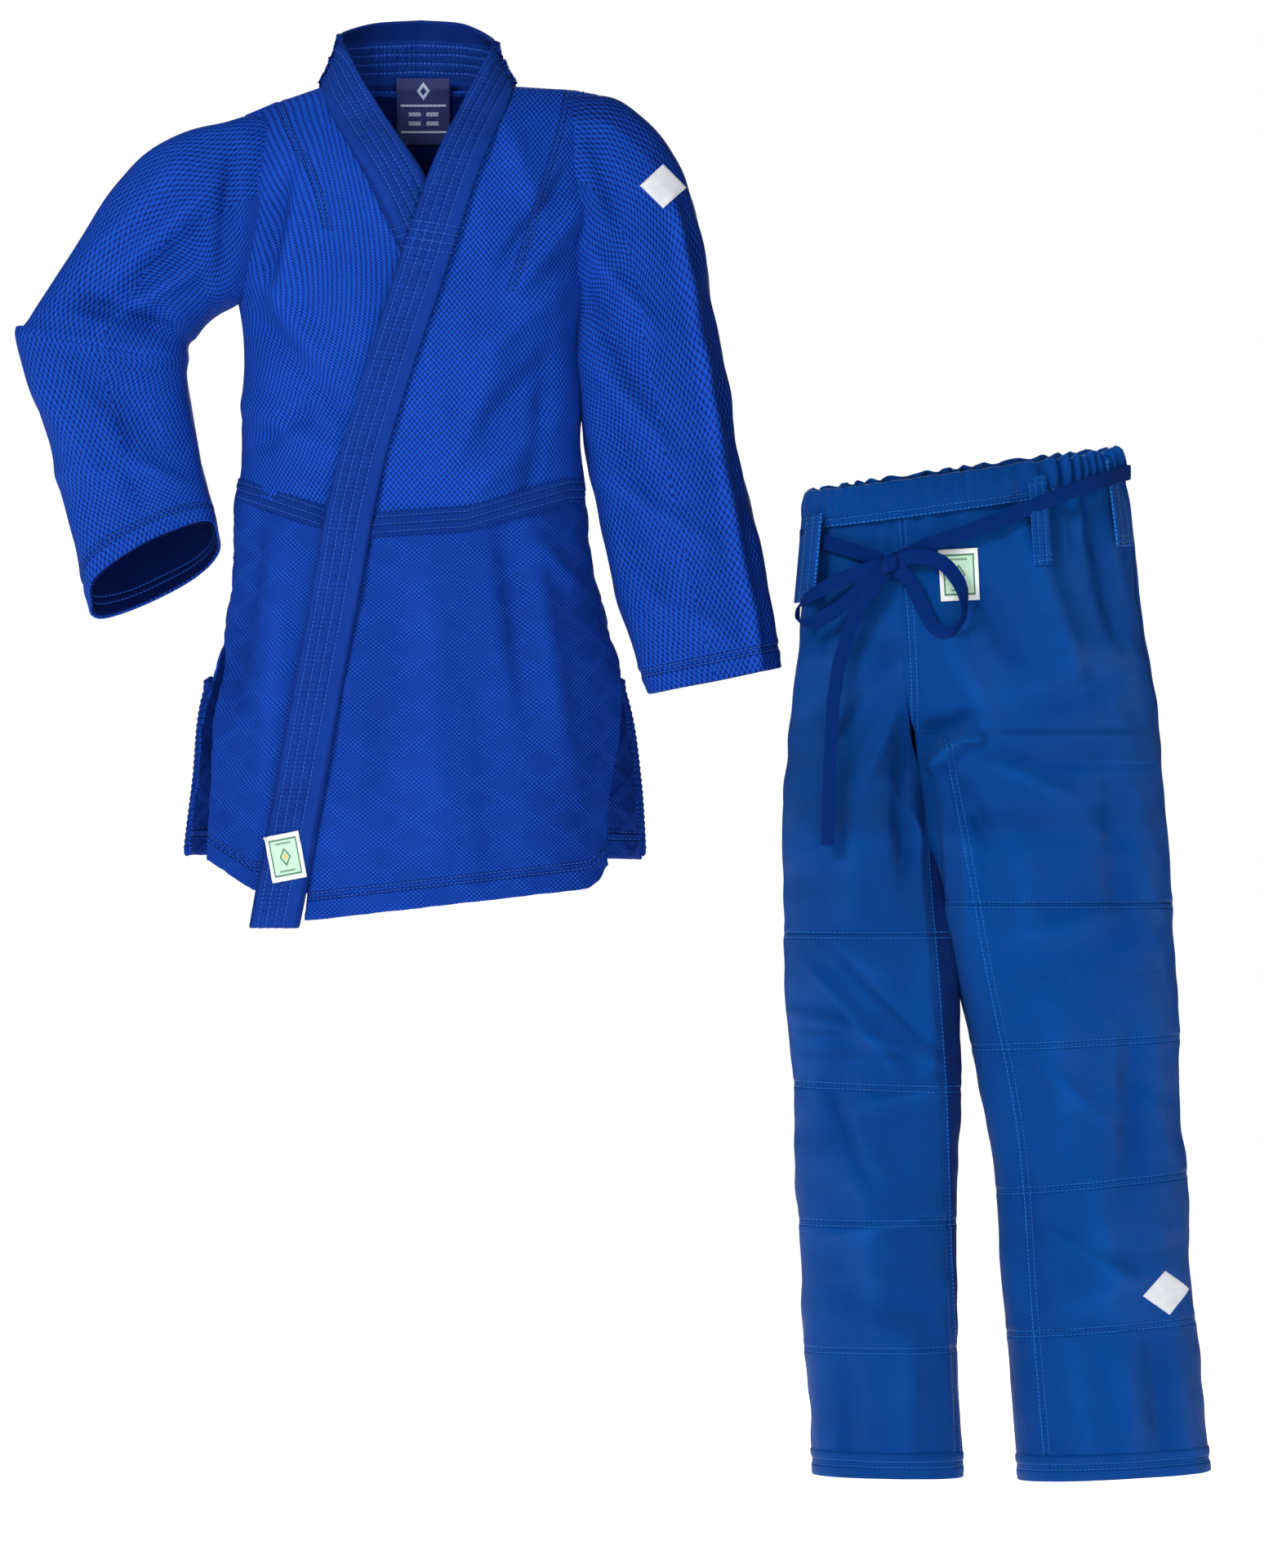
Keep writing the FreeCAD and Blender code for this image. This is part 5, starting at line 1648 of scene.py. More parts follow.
RIGHT_SLEEVE_FOLDS = folds_of(
    (-190, -110, -290, -200, 10, 5), (-195, -150, -300, -235, 10, -5), (-200, -190, -310, -255, 10, 5),
    (-215, -80, -330, -200, 12, 3), (-180, -80, -190, -200, 9, -6), (-337, -229, -236, -262, 10, -9),
    (-392, -259, -230, -286, 8, 4), (-380, -300, -300, -420, 13, 4), (-330, -300, -250, -380, 12, -4),
    (-360, -400, -240, -400, 12, 3), (-300, -370, -230, -420, 10, 4), (-290, -300, -270, -450, 12, -3),
)


@dataclass(frozen=True)
class Sleeves:
    """Both sleeves with their cuff facings."""

    shop: Workshop
    cloth: float = 0.003
    facing_cloth: float = 0.0015
    facing_start: float = 0.80
    facing_tuck: float = 0.0035
    cuff_row: float = 0.020
    facing_row: float = 0.012

    def build(self) -> None:
        """Make every piece of the sleeves."""
        folds = RIGHT_SLEEVE_FOLDS
        self.tube("sleeve_left", LEFT_SLEEVE, LEFT_SLEEVE_FOLDS, LEFT_ARM, "left_sleeve", cuff=True)
        self.tube("sleeve_right_upper", RIGHT_UPPER, folds, RIGHT_ARM, "right_sleeve_upper", cuff=False)
        self.tube("sleeve_right_lower", RIGHT_LOWER, folds, ELBOW, "right_sleeve_lower", cuff=True)
        self.facing(Hand.LEFT, LEFT_SLEEVE, LEFT_SLEEVE_FOLDS, Move("left_sleeve_tube"))
        self.facing(Hand.RIGHT, RIGHT_LOWER, folds, Move("right_forearm"))

    def shaped(self, form: SleeveForm, folds: tuple[Fold, ...], start: float, tuck: float) -> Patch:
        """The tube with its folds, and its mouth opened towards the front if it is the right cuff.

        Args:
            form: stations of the sleeve.
            folds: ridges and valleys.
            start: share of the sleeve's length at the first row.
            tuck: how far inside the sleeve's surface it lies.

        Returns:
            The tube.
        """
        patch = form.patch(start, 1.0, tuck)
        x, z = patch.points[..., 0], patch.points[..., 2]
        level = relief(folds, x, z) * 1.7 + ripple(x + patch.points[..., 1], z, 0.07, 8) * 0.0020
        raise_folds(patch, level)
        if form is RIGHT_LOWER:
            row = np.linspace(start, 1, patch.points.shape[0])[:, None]
            tilt = ease(row, 0.55, 1.0)
            patch.points[..., 2] -= patch.points[..., 1] * 0.62 * tilt
        return patch

    def tube(
        self, name: str, form: SleeveForm, folds: tuple[Fold, ...], move: Move, node: str, cuff: bool,
    ) -> None:
        """One sleeve tube; two rows of stitches run round above a cuff.

        Args:
            name: name of the piece.
            form: stations of the sleeve.
            folds: ridges and valleys.
            move: what it moves with.
            node: the plain solid that it stands in for.
            cuff: whether it ends in a cuff.
        """
        patch = self.shaped(form, folds, 0.0, 0.0)
        if cuff:
            patch.seam = edge_seam(patch, self.cuff_row)
            press(patch, patch.seam)
        # painted shade on the left sleeve's outer side beyond its crease, and painted light and shade on fold
        # crests and hollows
        side = ease(np.cos(ROUND_SLEEVE), 0.66, 0.74)
        painted_fold_shade = np.clip(relief(folds, patch.points[..., 0], patch.points[..., 2]) * 60, -0.4, 0.5)
        patch.painted_shading = painted_fold_shade - 0.9 * side * (form is LEFT_SLEEVE)
        self.shop.cloth(name, patch, self.cloth, SLEEVE_GRAIN, move, (node,), Held.HUNG)

    def facing(self, hand: Hand, form: SleeveForm, folds: tuple[Fold, ...], move: Move) -> None:
        """Facing inside the mouth of the sleeve, coloured dark as painted shade.

        Args:
            hand: whose sleeve it is.
            form: stations of the sleeve.
            folds: ridges and valleys.
            move: what it moves with.
        """
        patch = self.shaped(form, folds, self.facing_start, self.facing_tuck)
        patch.seam = edge_seam(patch, self.facing_row)
        name, node = f"cuff_facing_{hand.word()}", f"{hand.word()}_cuff_facing"
        self.shop.cloth(name, patch, self.facing_cloth, SHADED_LINING, move, (node,))


# ------------------------------------------------------------------ trousers
@dataclass(frozen=True)
class LegForm:
    """Half of the trousers: hip ellipse above, leg ellipse below, by height."""

    hand: Hand
    centre: Line
    half: Line
    depth: Line
    hem_tilt: float

    def grid(self, rows: int = 330, columns: int = 200) -> tuple[Array, Array, Array]:
        """Points of the whole half from waist to hem, with each row's share and each column's.

        A row is (1 - k) x hip arc + k x leg ellipse, where k rises smoothly from 0 at the
        hips to 1 below the crotch. The first column is the front seam and the inseam, and
        the last one is the back seam and the inseam.

        Args:
            rows: rows from the waist to the hem.
            columns: columns round the half.

        Returns:
            The points, the share of the length of each row and the share round of each column.
        """
        t = np.linspace(0, 1, rows)[:, None]
        s = np.linspace(0, 1, columns)[None, :]
        level = WAIST[1] - t * LEG_LENGTH
        hip_x, hip_half, hip_depth = (level_curve(table, level) for table in HIPS)
        front = np.arcsin(np.clip((HIP_FRONT - hip_x) / hip_half, -1, 1))
        back = math.pi - np.arcsin(np.clip((HIP_BACK - hip_x) / hip_half, -1, 1))
        if self.hand is Hand.RIGHT:
            low, high = -front, 2 * math.pi - back
            turn = low + (high - low) * s
            around = (hip_x - hip_half * np.sin(turn), -hip_depth * np.cos(turn))
        else:
            turn = front + (back - front) * s
            around = (hip_x + hip_half * np.sin(turn), -hip_depth * np.cos(turn))
        turn = -math.pi / 2 + 2 * math.pi * s
        tables = (self.centre, self.half, self.depth)
        leg_x, leg_half, leg_depth = (level_curve(table, level) for table in tables)
        deep = np.cos(turn)
        deep = np.sign(deep) * np.abs(deep) ** 0.85
        below = (leg_x + self.hand.value * leg_half * np.sin(turn), -leg_depth * deep)
        k = ease(-level, 0.575, 0.735)
        x = around[0] * (1 - k) + below[0] * k
        y = around[1] * (1 - k) + below[1] * k
        rise = (1 - ease(t, 0.0, 0.16)) * waist_rise(x, y)
        z = level + rise + ease(t, 0.9, 1.0) * self.hem_tilt * (x - leg_x)
        return np.stack([x, y, z], axis=-1), t + 0 * s, s + 0 * t


def waist_rise(x: Array, y: Array) -> Array:
    """How far the slanting waist stands above its middle."""
    return (x - WAIST[0]) * WAIST_SLOPE + y * WAIST_TILT


WAIST = (0.538, -0.400)
WAIST_SLOPE = math.tan(math.radians(8.0))
WAIST_TILT = 0.06
LEG_LENGTH = 0.984
CROTCH = -0.655
HIP_FRONT = 0.476
HIP_BACK = 0.549
HIPS = (
    (
        (-0.40, 0.5400), (-0.46, 0.5430), (-0.544, 0.5450), (-0.656, 0.5490), (-0.74, 0.549),
        (-1.4, 0.549),
    ),
    (
        (-0.40, 0.1480), (-0.46, 0.1600), (-0.544, 0.1690), (-0.656, 0.1830), (-0.74, 0.186),
        (-1.4, 0.186),
    ),
    ((-0.40, 0.084), (-0.46, 0.092), (-0.544, 0.095), (-0.62, 0.090), (-0.74, 0.070), (-1.4, 0.07)),
)
RIGHT_HALF = LegForm(
    Hand.RIGHT,
    (
        (-0.55, 0.428), (-0.664, 0.429), (-0.736, 0.434), (-0.856, 0.4460), (-1.056, 0.452),
        (-1.216, 0.455), (-1.39, 0.4635),
    ),
    (
        (-0.55, 0.066), (-0.664, 0.066), (-0.736, 0.0740), (-0.856, 0.0850), (-1.056, 0.0805),
        (-1.216, 0.0755), (-1.39, 0.0735),
    ),
    (
        (-0.55, 0.050), (-0.664, 0.056), (-0.736, 0.058), (-0.856, 0.060), (-1.056, 0.060),
        (-1.216, 0.056), (-1.39, 0.054),
    ),
    -0.02,
)
LEFT_HALF = LegForm(
    Hand.LEFT,
    (
        (-0.55, 0.616), (-0.664, 0.616), (-0.736, 0.6150), (-0.856, 0.6330), (-1.056, 0.659),
        (-1.216, 0.672), (-1.39, 0.687),
    ),
    (
        (-0.55, 0.112), (-0.664, 0.1175), (-0.736, 0.1235), (-0.856, 0.1130), (-1.056, 0.095),
        (-1.216, 0.094), (-1.39, 0.095),
    ),
    (
        (-0.55, 0.065), (-0.664, 0.072), (-0.736, 0.072), (-0.856, 0.069), (-1.056, 0.064),
        (-1.216, 0.061), (-1.39, 0.060),
    ),
    0.05,
)
TROUSER_FOLDS = folds_of(
    (385, -880, 470, -985, 7, 2.6), (400, -860, 500, -960, 6, -2.4), (380, -930, 520, -980, 7, 2.4),
    (430, -1020, 520, -1000, 7, 2.2), (400, -1150, 520, -1120, 7, 2.4),
    (400, -1000, 450, -1110, 8, -2.4), (590, -960, 680, -1040, 8, 2.2),
    (600, -1130, 700, -1190, 7, 2.2), (470, -630, 440, -700, 8, 3), (500, -700, 512, -860, 8, -4),
    (535, -700, 545, -860, 10, 3), (470, -700, 500, -770, 7, 3), (504, -690, 532, -656, 7, 8),
    (532, -656, 556, -659, 8, 6), (490, -660, 545, -640, 11, -5), (476, -660, 480, -800, 10, -6),
    (520, -690, 560, -760, 12, -5), (560, -680, 640, -720, 14, 5), (450, -580, 405, -690, 14, 4),
    (470, -560, 420, -640, 12, -4), (500, -520, 560, -640, 14, 4), (530, -480, 600, -600, 15, -4),
    (590, -450, 650, -600, 14, 4), (660, -430, 690, -560, 12, -4), (405, -480, 385, -600, 12, -3),
    (580, -640, 680, -600, 14, -3), (440, -740, 420, -840, 16, 4), (400, -860, 480, -900, 16, 3),
    (420, -900, 410, -1060, 16, -3), (500, -860, 500, -1020, 12, 3), (440, -1060, 450, -1240, 18, 4),
    (410, -1200, 500, -1230, 16, -3), (480, -1240, 480, -1370, 14, 4), (420, -1260, 425, -1370, 14, -3),
    (590, -740, 600, -860, 16, 4), (680, -700, 690, -850, 16, -4), (570, -860, 690, -830, 16, 3),
    (620, -900, 640, -1060, 18, 4), (700, -940, 700, -1100, 14, -4), (590, -1060, 610, -1230, 15, -3),
    (660, -1080, 680, -1220, 18, 4), (620, -1220, 740, -1180, 16, 3), (640, -1240, 660, -1370, 16, 4),
    (720, -1240, 735, -1370, 14, -4), (690, -1250, 700, -1370, 14, 3),
)
KNEE_ROWS = {
    Hand.RIGHT: (
        ((0.36, -0.852), (0.54, -0.852)), ((0.36, -0.998), (0.54, -1.004)),
        ((0.36, -1.134), (0.54, -1.134)), ((0.36, -1.259), (0.54, -1.259)),
    ),
    Hand.LEFT: (
        ((0.50, -0.822), (0.76, -0.822)), ((0.56, -0.962), (0.76, -0.952)),
        ((0.58, -1.104), (0.76, -1.087)), ((0.59, -1.244), (0.77, -1.230)),
    ),
}
INSEAM = (
    (-0.655, 0.499), (-0.776, 0.5005), (-0.84, 0.505), (-0.992, 0.516), (-1.15, 0.522), (-1.35, 0.531),
    (-1.39, 0.532),
)
KNEES = {Hand.RIGHT: (-0.852, -1.259), Hand.LEFT: (-0.822, -1.238)}
FRONT_SEAM = (
    (-0.40, 0.464), (-0.426, 0.472), (-0.472, 0.4765), (-0.502, 0.4795), (-0.590, 0.486), (-0.66, 0.489),
)
LEFT_INSEAM = ((-0.66, 0.520), (-0.86, 0.556), (-1.06, 0.594), (-1.22, 0.606), (-1.39, 0.620))


@dataclass
class Trousers:
    """Both halves of the trousers with waistband, loops, knee layers and hems."""

    shop: Workshop
    cloth: float = 0.0022
    knee_lift: float = 0.0012
    knee_columns: tuple[int, int] = (6, 92)
    hem_lift: float = 0.0008
    hem_rows: int = 9
    hem_seam: float = 0.014
    band_half: float = 0.1510
    band_height: float = 0.036
    band_depth: float = 0.0875
    loop_cloth: float = 0.0025
    loop_half: float = 0.0088
    halves: dict[Hand, Array] = field(init=False)

    def __post_init__(self) -> None:
        """Shape both halves once; every piece is cut from them."""
        self.halves = {form.hand: self.shaped(form) for form in (RIGHT_HALF, LEFT_HALF)}

    def build(self) -> None:
        """Make every piece of the trousers."""
        for hand, move in ((Hand.RIGHT, RIGHT_LEG), (Hand.LEFT, LEFT_LEG)):
            self.half(hand, move)
            self.knee(hand)
            self.hem(hand)
        self.waistband("waistband_front_cloth", Face.FRONT, "waistband_front")
        self.waistband("waistband_back_cloth", Face.BACK, "waistband_back")
        self.loop("loop_right", (0.3870, -0.440), (0.3795, -0.524), "belt_loop_right", aside=True)
        self.loop("loop_front", (0.6065, -0.403), (0.6120, -0.490), "belt_loop_front", aside=False)
        self.loop("loop_left", (0.6860, -0.384), (0.6960, -0.470), "belt_loop_left", aside=True)

    def shaped(self, form: LegForm) -> Array:
        """Points of one half with its folds, the gathered waist and soft unevenness.

        Args:
            form: form of the half.

        Returns:
            The points.
        """
        points, t, s = form.grid()
        patch = self.patch_of(points, form.hand)
        x, y, z = points[..., 0], points[..., 1], points[..., 2]
        front = (y < 0.02) * 1.0
        flare = ripple(x, z, 0.13, 21) * 0.0030 + ripple(x + y, z, 0.05, 22) * 0.0012
        pulled = 0.0009 if form.hand is Hand.RIGHT else 0.0020
        gather = np.sin(s * 110 + 3 * np.sin(s * 23)) * pulled * (1 - ease(t, 0.02, 0.12))
        fade = ease(np.minimum(s, 1 - s), 0.0, 0.03)
        folds = relief(TROUSER_FOLDS, x, z) * 2.2 * (0.35 + 0.65 * front)
        raise_folds(patch, (folds + flare + gather) * (0.25 + 0.75 * fade))
        return patch.points

    def patch_of(self, points: Array, hand: Hand) -> Patch:
        """A part of one half as cloth, with weave coordinates and an outward direction.

        Args:
            points: points of the part.
            hand: the half that it belongs to.

        Returns:
            The part.
        """
        x, y = points[..., 0], points[..., 1]
        weave = np.stack([arc(points, 1), -points[..., 2]], axis=-1)
        leg_x = 0.445 if hand is Hand.RIGHT else 0.64
        return Patch(points, weave, np.stack([(x - leg_x) * 0.5, y * 1.5, 0 * x], axis=-1))

    def seams(self, patch: Patch, hand: Hand) -> None:
        """Stitches down the front seam and the inseam, and across the knee.

        Args:
            patch: the cloth.
            hand: the half that it belongs to.
        """
        points = patch.points
        away = FAR_AWAY * (points[..., 1] > 0)
        top, place = upright(points, FRONT_SEAM)
        top = np.where(points[..., 2] > CROTCH, top, FAR_AWAY)
        foot, _ = upright(points, INSEAM if hand is Hand.RIGHT else LEFT_INSEAM)
        foot = np.where(points[..., 2] < CROTCH, foot, FAR_AWAY)
        patch.seam = nearest((top + away, place), (foot + away, place))
        patch.seam_b = nearest(*[level_seam(points, table) for table in KNEE_ROWS[hand]])
        press(patch, patch.seam)
        press(patch, patch.seam_b, 0.0005)

    def shade(self, patch: Patch, hand: Hand) -> None:
        """Painted light and shade: lighter crests, darker hollows, and a strip of painted shade on the inner
        side of the right leg, beyond its inseam.

        Args:
            patch: the cloth.
            hand: the half that it belongs to.
        """
        x, z = patch.points[..., 0], patch.points[..., 2]
        inner = ease(x - level_curve(INSEAM, z), 0.001, 0.005) * ease(-z, 0.68, 0.74)
        painted_crest_shade = np.clip(relief(TROUSER_FOLDS, x, z) * 60, -0.5, 0.5)
        # painted highlight on fold crests, painted shade in hollows and beyond the right inseam
        patch.painted_shading = painted_crest_shade - 1.2 * inner * (hand is Hand.RIGHT)

    def half(self, hand: Hand, move: Move) -> None:
        """Front and back cloth of one half, from the waist to the hem, open at the waist.

        Args:
            hand: the half.
            move: what it moves with.
        """
        points, word = self.halves[hand], hand.word()
        middle = points.shape[1] // 2
        parts = (("front", slice(0, middle + 2)), ("back", slice(middle - 1, None)))
        for face, columns in parts:
            patch = self.patch_of(points[:, columns], hand)
            self.seams(patch, hand)
            self.shade(patch, hand)
            nodes = (f"seat_{face}_{word}", f"{word}_leg_{face}")
            self.shop.cloth(f"trouser_{face}_{word}", patch, self.cloth, TROUSER, move, nodes, Held.HUNG)

    def layer(self, hand: Hand, rows: slice, columns: slice, lift: float) -> Patch:
        """A second layer of cloth a little outside part of one half.

        Args:
            hand: the half.
            rows: its rows.
            columns: its columns.
            lift: how far outside it lies.

        Returns:
            The layer.
        """
        chosen = self.halves[hand][rows, columns]
        patch = self.patch_of(chosen, hand)
        raise_folds(patch, np.full(chosen.shape[:2], lift))
        return patch

    def knee(self, hand: Hand) -> None:
        """Second layer over the knee with stitched edges.

        Args:
            hand: the half.
        """
        count, word = self.halves[hand].shape[0], hand.word()
        top, foot = (int(count * (WAIST[1] - level) / LEG_LENGTH) for level in KNEES[hand])
        patch = self.layer(hand, slice(top, foot), slice(*self.knee_columns), self.knee_lift)
        self.seams(patch, hand)
        self.shade(patch, hand)
        move, nodes = Move(f"{word}_leg"), (f"{word}_knee_patch",)
        self.shop.cloth(f"knee_layer_{word}", patch, self.cloth, TROUSER, move, nodes)

    def hem(self, hand: Hand) -> None:
        """Turned hem with two rows of stitches.

        Args:
            hand: the half.
        """
        word = hand.word()
        patch = self.layer(hand, slice(-self.hem_rows, None), slice(None), self.hem_lift)
        down = arc(patch.points, 0)
        patch.seam = np.stack([down - down.max() + self.hem_seam, patch.weave[..., 0]], -1)
        press(patch, patch.seam)
        move, nodes = Move(f"{word}_leg"), (f"{word}_leg_hem",)
        self.shop.cloth(f"hem_band_{word}", patch, self.cloth, TROUSER, move, nodes)

    def waistband(self, name: str, face: Face, node: str) -> None:
        """Gathered tunnel for the drawstring, on the front or the back.

        Args:
            name: name of the piece.
            face: front or back.
            node: the plain solid that it stands in for.
        """
        turn = np.linspace(-math.pi / 2, math.pi / 2, 340)[None, :]
        t = np.linspace(0, 1, 26)[:, None]
        x = WAIST[0] + self.band_half * np.sin(turn) + 0 * t
        y = face.value * (self.band_depth + 0.004 * t) * np.cos(turn)
        z = WAIST[1] + waist_rise(x, y) - self.band_height * t + 0.006
        left = ease(x, WAIST[0] + 0.02, WAIST[0] + 0.10) if face is Face.FRONT else 0.6
        pleat = np.sin(turn * 62 + 4 * np.sin(turn * 7)) * (0.0006 + 0.0028 * left)
        z = z + np.sin(turn * 40 + 2 * np.sin(turn * 9)) * (0.0004 + 0.0018 * left) * (1 - t)
        swell = 0.004 * np.sin(math.pi * t) + pleat
        points = np.stack([x, y, z], axis=-1)
        patch = Patch(points, np.stack([x * 1.2, -z], -1), np.stack([x - WAIST[0], y * 2, 0 * x], -1))
        raise_folds(patch, swell + 0.003)
        patch.seam = np.stack([t * self.band_height - 0.033 + 0 * x, x], axis=-1)
        press(patch, patch.seam, 0.0008)
        self.shop.cloth(name, patch, self.cloth, TROUSER, SEAT, (node,))

    def loop(self, name: str, top: Point, foot: Point, node: str, aside: bool) -> None:
        """Flat cloth loop that the drawstring passes, bowed out between its ends.

        Args:
            name: name of the piece.
            top: middle of its upper end, seen from the front.
            foot: middle of its lower end.
            node: the plain solid that it stands in for.
            aside: whether it turns back round the side of the hip.
        """
        s = np.linspace(-1, 1, 22)[None, :]
        t = np.linspace(0, 1, 70)[:, None]
        x = top[0] + (foot[0] - top[0]) * t + self.loop_half * s
        z = top[1] + (foot[1] - top[1]) * t + 0.0012 * s
        y = self.depth_at(x, z) - 0.006 - 0.0045 * np.sin(math.pi * t)
        if aside:
            out = 1.0 if top[0] > WAIST[0] else -1.0
            y = y + 0.018 * (out * s + 1) * 0.5
        points = np.stack([x + 0 * y, y, z + 0 * y], axis=-1)
        across = self.loop_half * s + 0 * t
        patch = Patch(points, np.stack([across, -z], -1), looking(x, -1.0))
        ends = np.minimum(t, 1 - t) * 0.085
        patch.seam = np.stack([np.abs(across) - 0.0062, z], axis=-1)
        patch.seam_b = np.stack([ends - 0.006 + 0 * s, x], axis=-1)
        raise_folds(patch, 0.0008 * (1 - s**6) + 0 * t)
        self.shop.cloth(name, patch, self.loop_cloth, TROUSER, SEAT, (node,))

    def depth_at(self, x: Array, z: Array) -> Array:
        """Depth of the front of the hips at a point of the front view.

        Args:
            x: across the body.
            z: height.

        Returns:
            The depth.
        """
        centre, half, depth = (level_curve(table, z) for table in HIPS)
        share = np.clip(1 - ((x - centre) / (half + 0.006)) ** 2, 0.02, 1)
        return -depth * np.sqrt(share) - 0.005


# ------------------------------------------------------------------ drawstring
ROUND_TAPE = np.linspace(0, 2 * math.pi, 25)[None, :-1]


@dataclass(frozen=True)
class Tape:
    """Flat cotton tape along a path of points."""

    name: str
    node: str
    path: tuple[Point3, ...]
    far_end: FarEnd
    hang: float = 0.0
    width: float = 0.0145
    thickness: float = 0.0014

    def line(self, count: int) -> Array:
        """Points along the smooth middle line, evenly spaced."""
        return evenly(np.array(self.path) / 1000, count)

    def mesh(self) -> bpy.types.Mesh:
        """Flat section swept along the line.

        The width lies square to the line and to the hip's outward direction; hang turns it
        into the plane of a loop near the loop's tip. The section is a rounded rectangle
        with |cos|^0.35 across and |sin|^0.7 through.

        Returns:
            The closed mesh.
        """
        middle = self.line(max(int(self.length() / 0.0022), 24))
        ahead = unit(np.gradient(middle, axis=0))
        out = np.stack([middle[:, 0] - 0.54, middle[:, 1] * 3.2, 0 * middle[:, 0]], axis=-1)
        out = unit(out - ahead * np.sum(out * ahead, axis=-1, keepdims=True))
        if self.hang:
            share = np.linspace(0, 1, len(middle))[:, None]
            tip = np.exp(-(((share - 0.5) / 0.16) ** 2)) * self.hang
            loop = unit(middle.mean(axis=0)[None] - middle)
            loop = unit(loop - ahead * np.sum(loop * ahead, axis=-1, keepdims=True))
            sign = np.sign(np.sum(loop * out, axis=-1, keepdims=True).mean())
            out = unit(out * (1 - tip) + sign * loop * tip)
        wide = np.cross(ahead, out)
        turn = ROUND_TAPE
        a = np.sign(np.cos(turn)) * np.abs(np.cos(turn)) ** 0.35 * self.width / 2
        b = np.sign(np.sin(turn)) * np.abs(np.sin(turn)) ** 0.7 * self.thickness / 2
        travelled = arc(middle[:, None], 0)
        crease = np.sin(travelled * 190) * 0.0004 * np.cos(turn) ** 2
        points = middle[:, None] + wide[:, None] * a[..., None] + out[:, None] * (b + crease)[..., None]
        return capped_mesh(self.name, points, np.stack([a + 0 * travelled, travelled + 0 * a], -1))

    def length(self) -> float:
        """Length of the line through the path's points."""
        return float(arc(np.array(self.path)[:, None] / 1000, 0)[-1, 0])


def capped_mesh(name: str, points: Array, weave: Array) -> bpy.types.Mesh:
    """Closed mesh of rings, with a strip of faces across each end.

    Args:
        name: name of the mesh.
        points: rows of rings, without a repeated column.
        weave: cloth coordinates of the same grid.

    Returns:
        The mesh with its layers.
    """
    rows, columns = points.shape[:2]
    slot = np.arange(rows * columns).reshape(rows, columns)
    ring = np.roll(slot, -1, axis=1)
    faces = [quads(slot[:-1], ring[:-1], ring[1:], slot[1:])]
    half = columns // 2
    ends = []
    for row, way in ((0, 1), (rows - 1, -1)):
        left, right = slot[row, : half + 1], np.roll(slot[row], -half)[: half + 1][::-1]
        faces.append(quads(left[:-1], right[:-1], right[1:], left[1:])[1:-1, ::way])
        ends += [(left[0], right[1], left[1])[::way], (left[-2], right[-2], left[-1])[::way]]
    corners = np.concatenate(faces).tolist() + [[int(corner) for corner in end] for end in ends]
    mesh = bpy.data.meshes.new(name)
    mesh.from_pydata(points.reshape(-1, 3).tolist(), [], corners)
    mesh.update()
    loops = np.zeros(len(mesh.loops), np.int32)
    mesh.loops.foreach_get("vertex_index", loops)
    for layer in ("weave", "seam", "seam_b"):
        values = weave.reshape(-1, 2) if layer == "weave" else np.full((rows * columns, 2), FAR_AWAY)
        mesh.uv_layers.new(name=layer).data.foreach_set("uv", values[loops].astype(np.float32).ravel())
    spread = mesh.attributes.new("painted_shading", "FLOAT", "CORNER")
    spread.data.foreach_set("value", np.zeros(len(loops), np.float32))
    mesh.polygons.foreach_set("use_smooth", np.ones(len(mesh.polygons), bool))
    return mesh


TAPES = (
    Tape("tape_run_right", "drawstring_right_run", (
        (384, 23, -460), (377, 0, -460), (384, -26, -463), (399, -48, -467), (416, -64, -472),
        (436, -80, -479), (454.5, -92, -485.5)), FarEnd.KNOT),
    Tape("tape_run_left", "drawstring_left_run", (
        (469.5, -96, -485.5), (494, -101, -474), (534, -103, -460), (574, -101, -445), (609, -97, -431),
        (640, -86, -418), (667, -67, -408), (689.5, -40, -401), (702, -8, -397),
        (697, 22, -396)), FarEnd.KNOT),
    Tape("tape_loop_right", "bow_loop_right", (
        (455.5, -97, -492.5), (440, -95, -508), (424, -89, -524), (404, -80, -538), (386, -66, -547),
        (374, -55, -544), (374, -53, -531), (384, -62, -521), (400, -74, -512), (419, -85, -503),
        (438, -93, -496), (456, -97, -490)), FarEnd.KNOT, 0.75),
    Tape("tape_loop_left", "bow_loop_left", (
        (469, -98, -489), (481, -103, -483), (497, -107, -483), (513, -109, -489), (526, -109, -503),
        (534, -108.5, -523), (532, -108.5, -545), (520, -107, -557), (506, -106, -552), (496, -104, -535),
        (486, -102, -515), (477, -100, -501), (467, -97, -494.5)), FarEnd.KNOT, 0.75),
    Tape("tape_tail", "drawstring_tail", (
        (459, -97, -495), (446, -98, -511), (430, -92, -538), (416, -84, -577), (408, -78, -623),
        (405, -75, -672), (403, -74, -720), (402, -74, -764)), FarEnd.BARE),
)


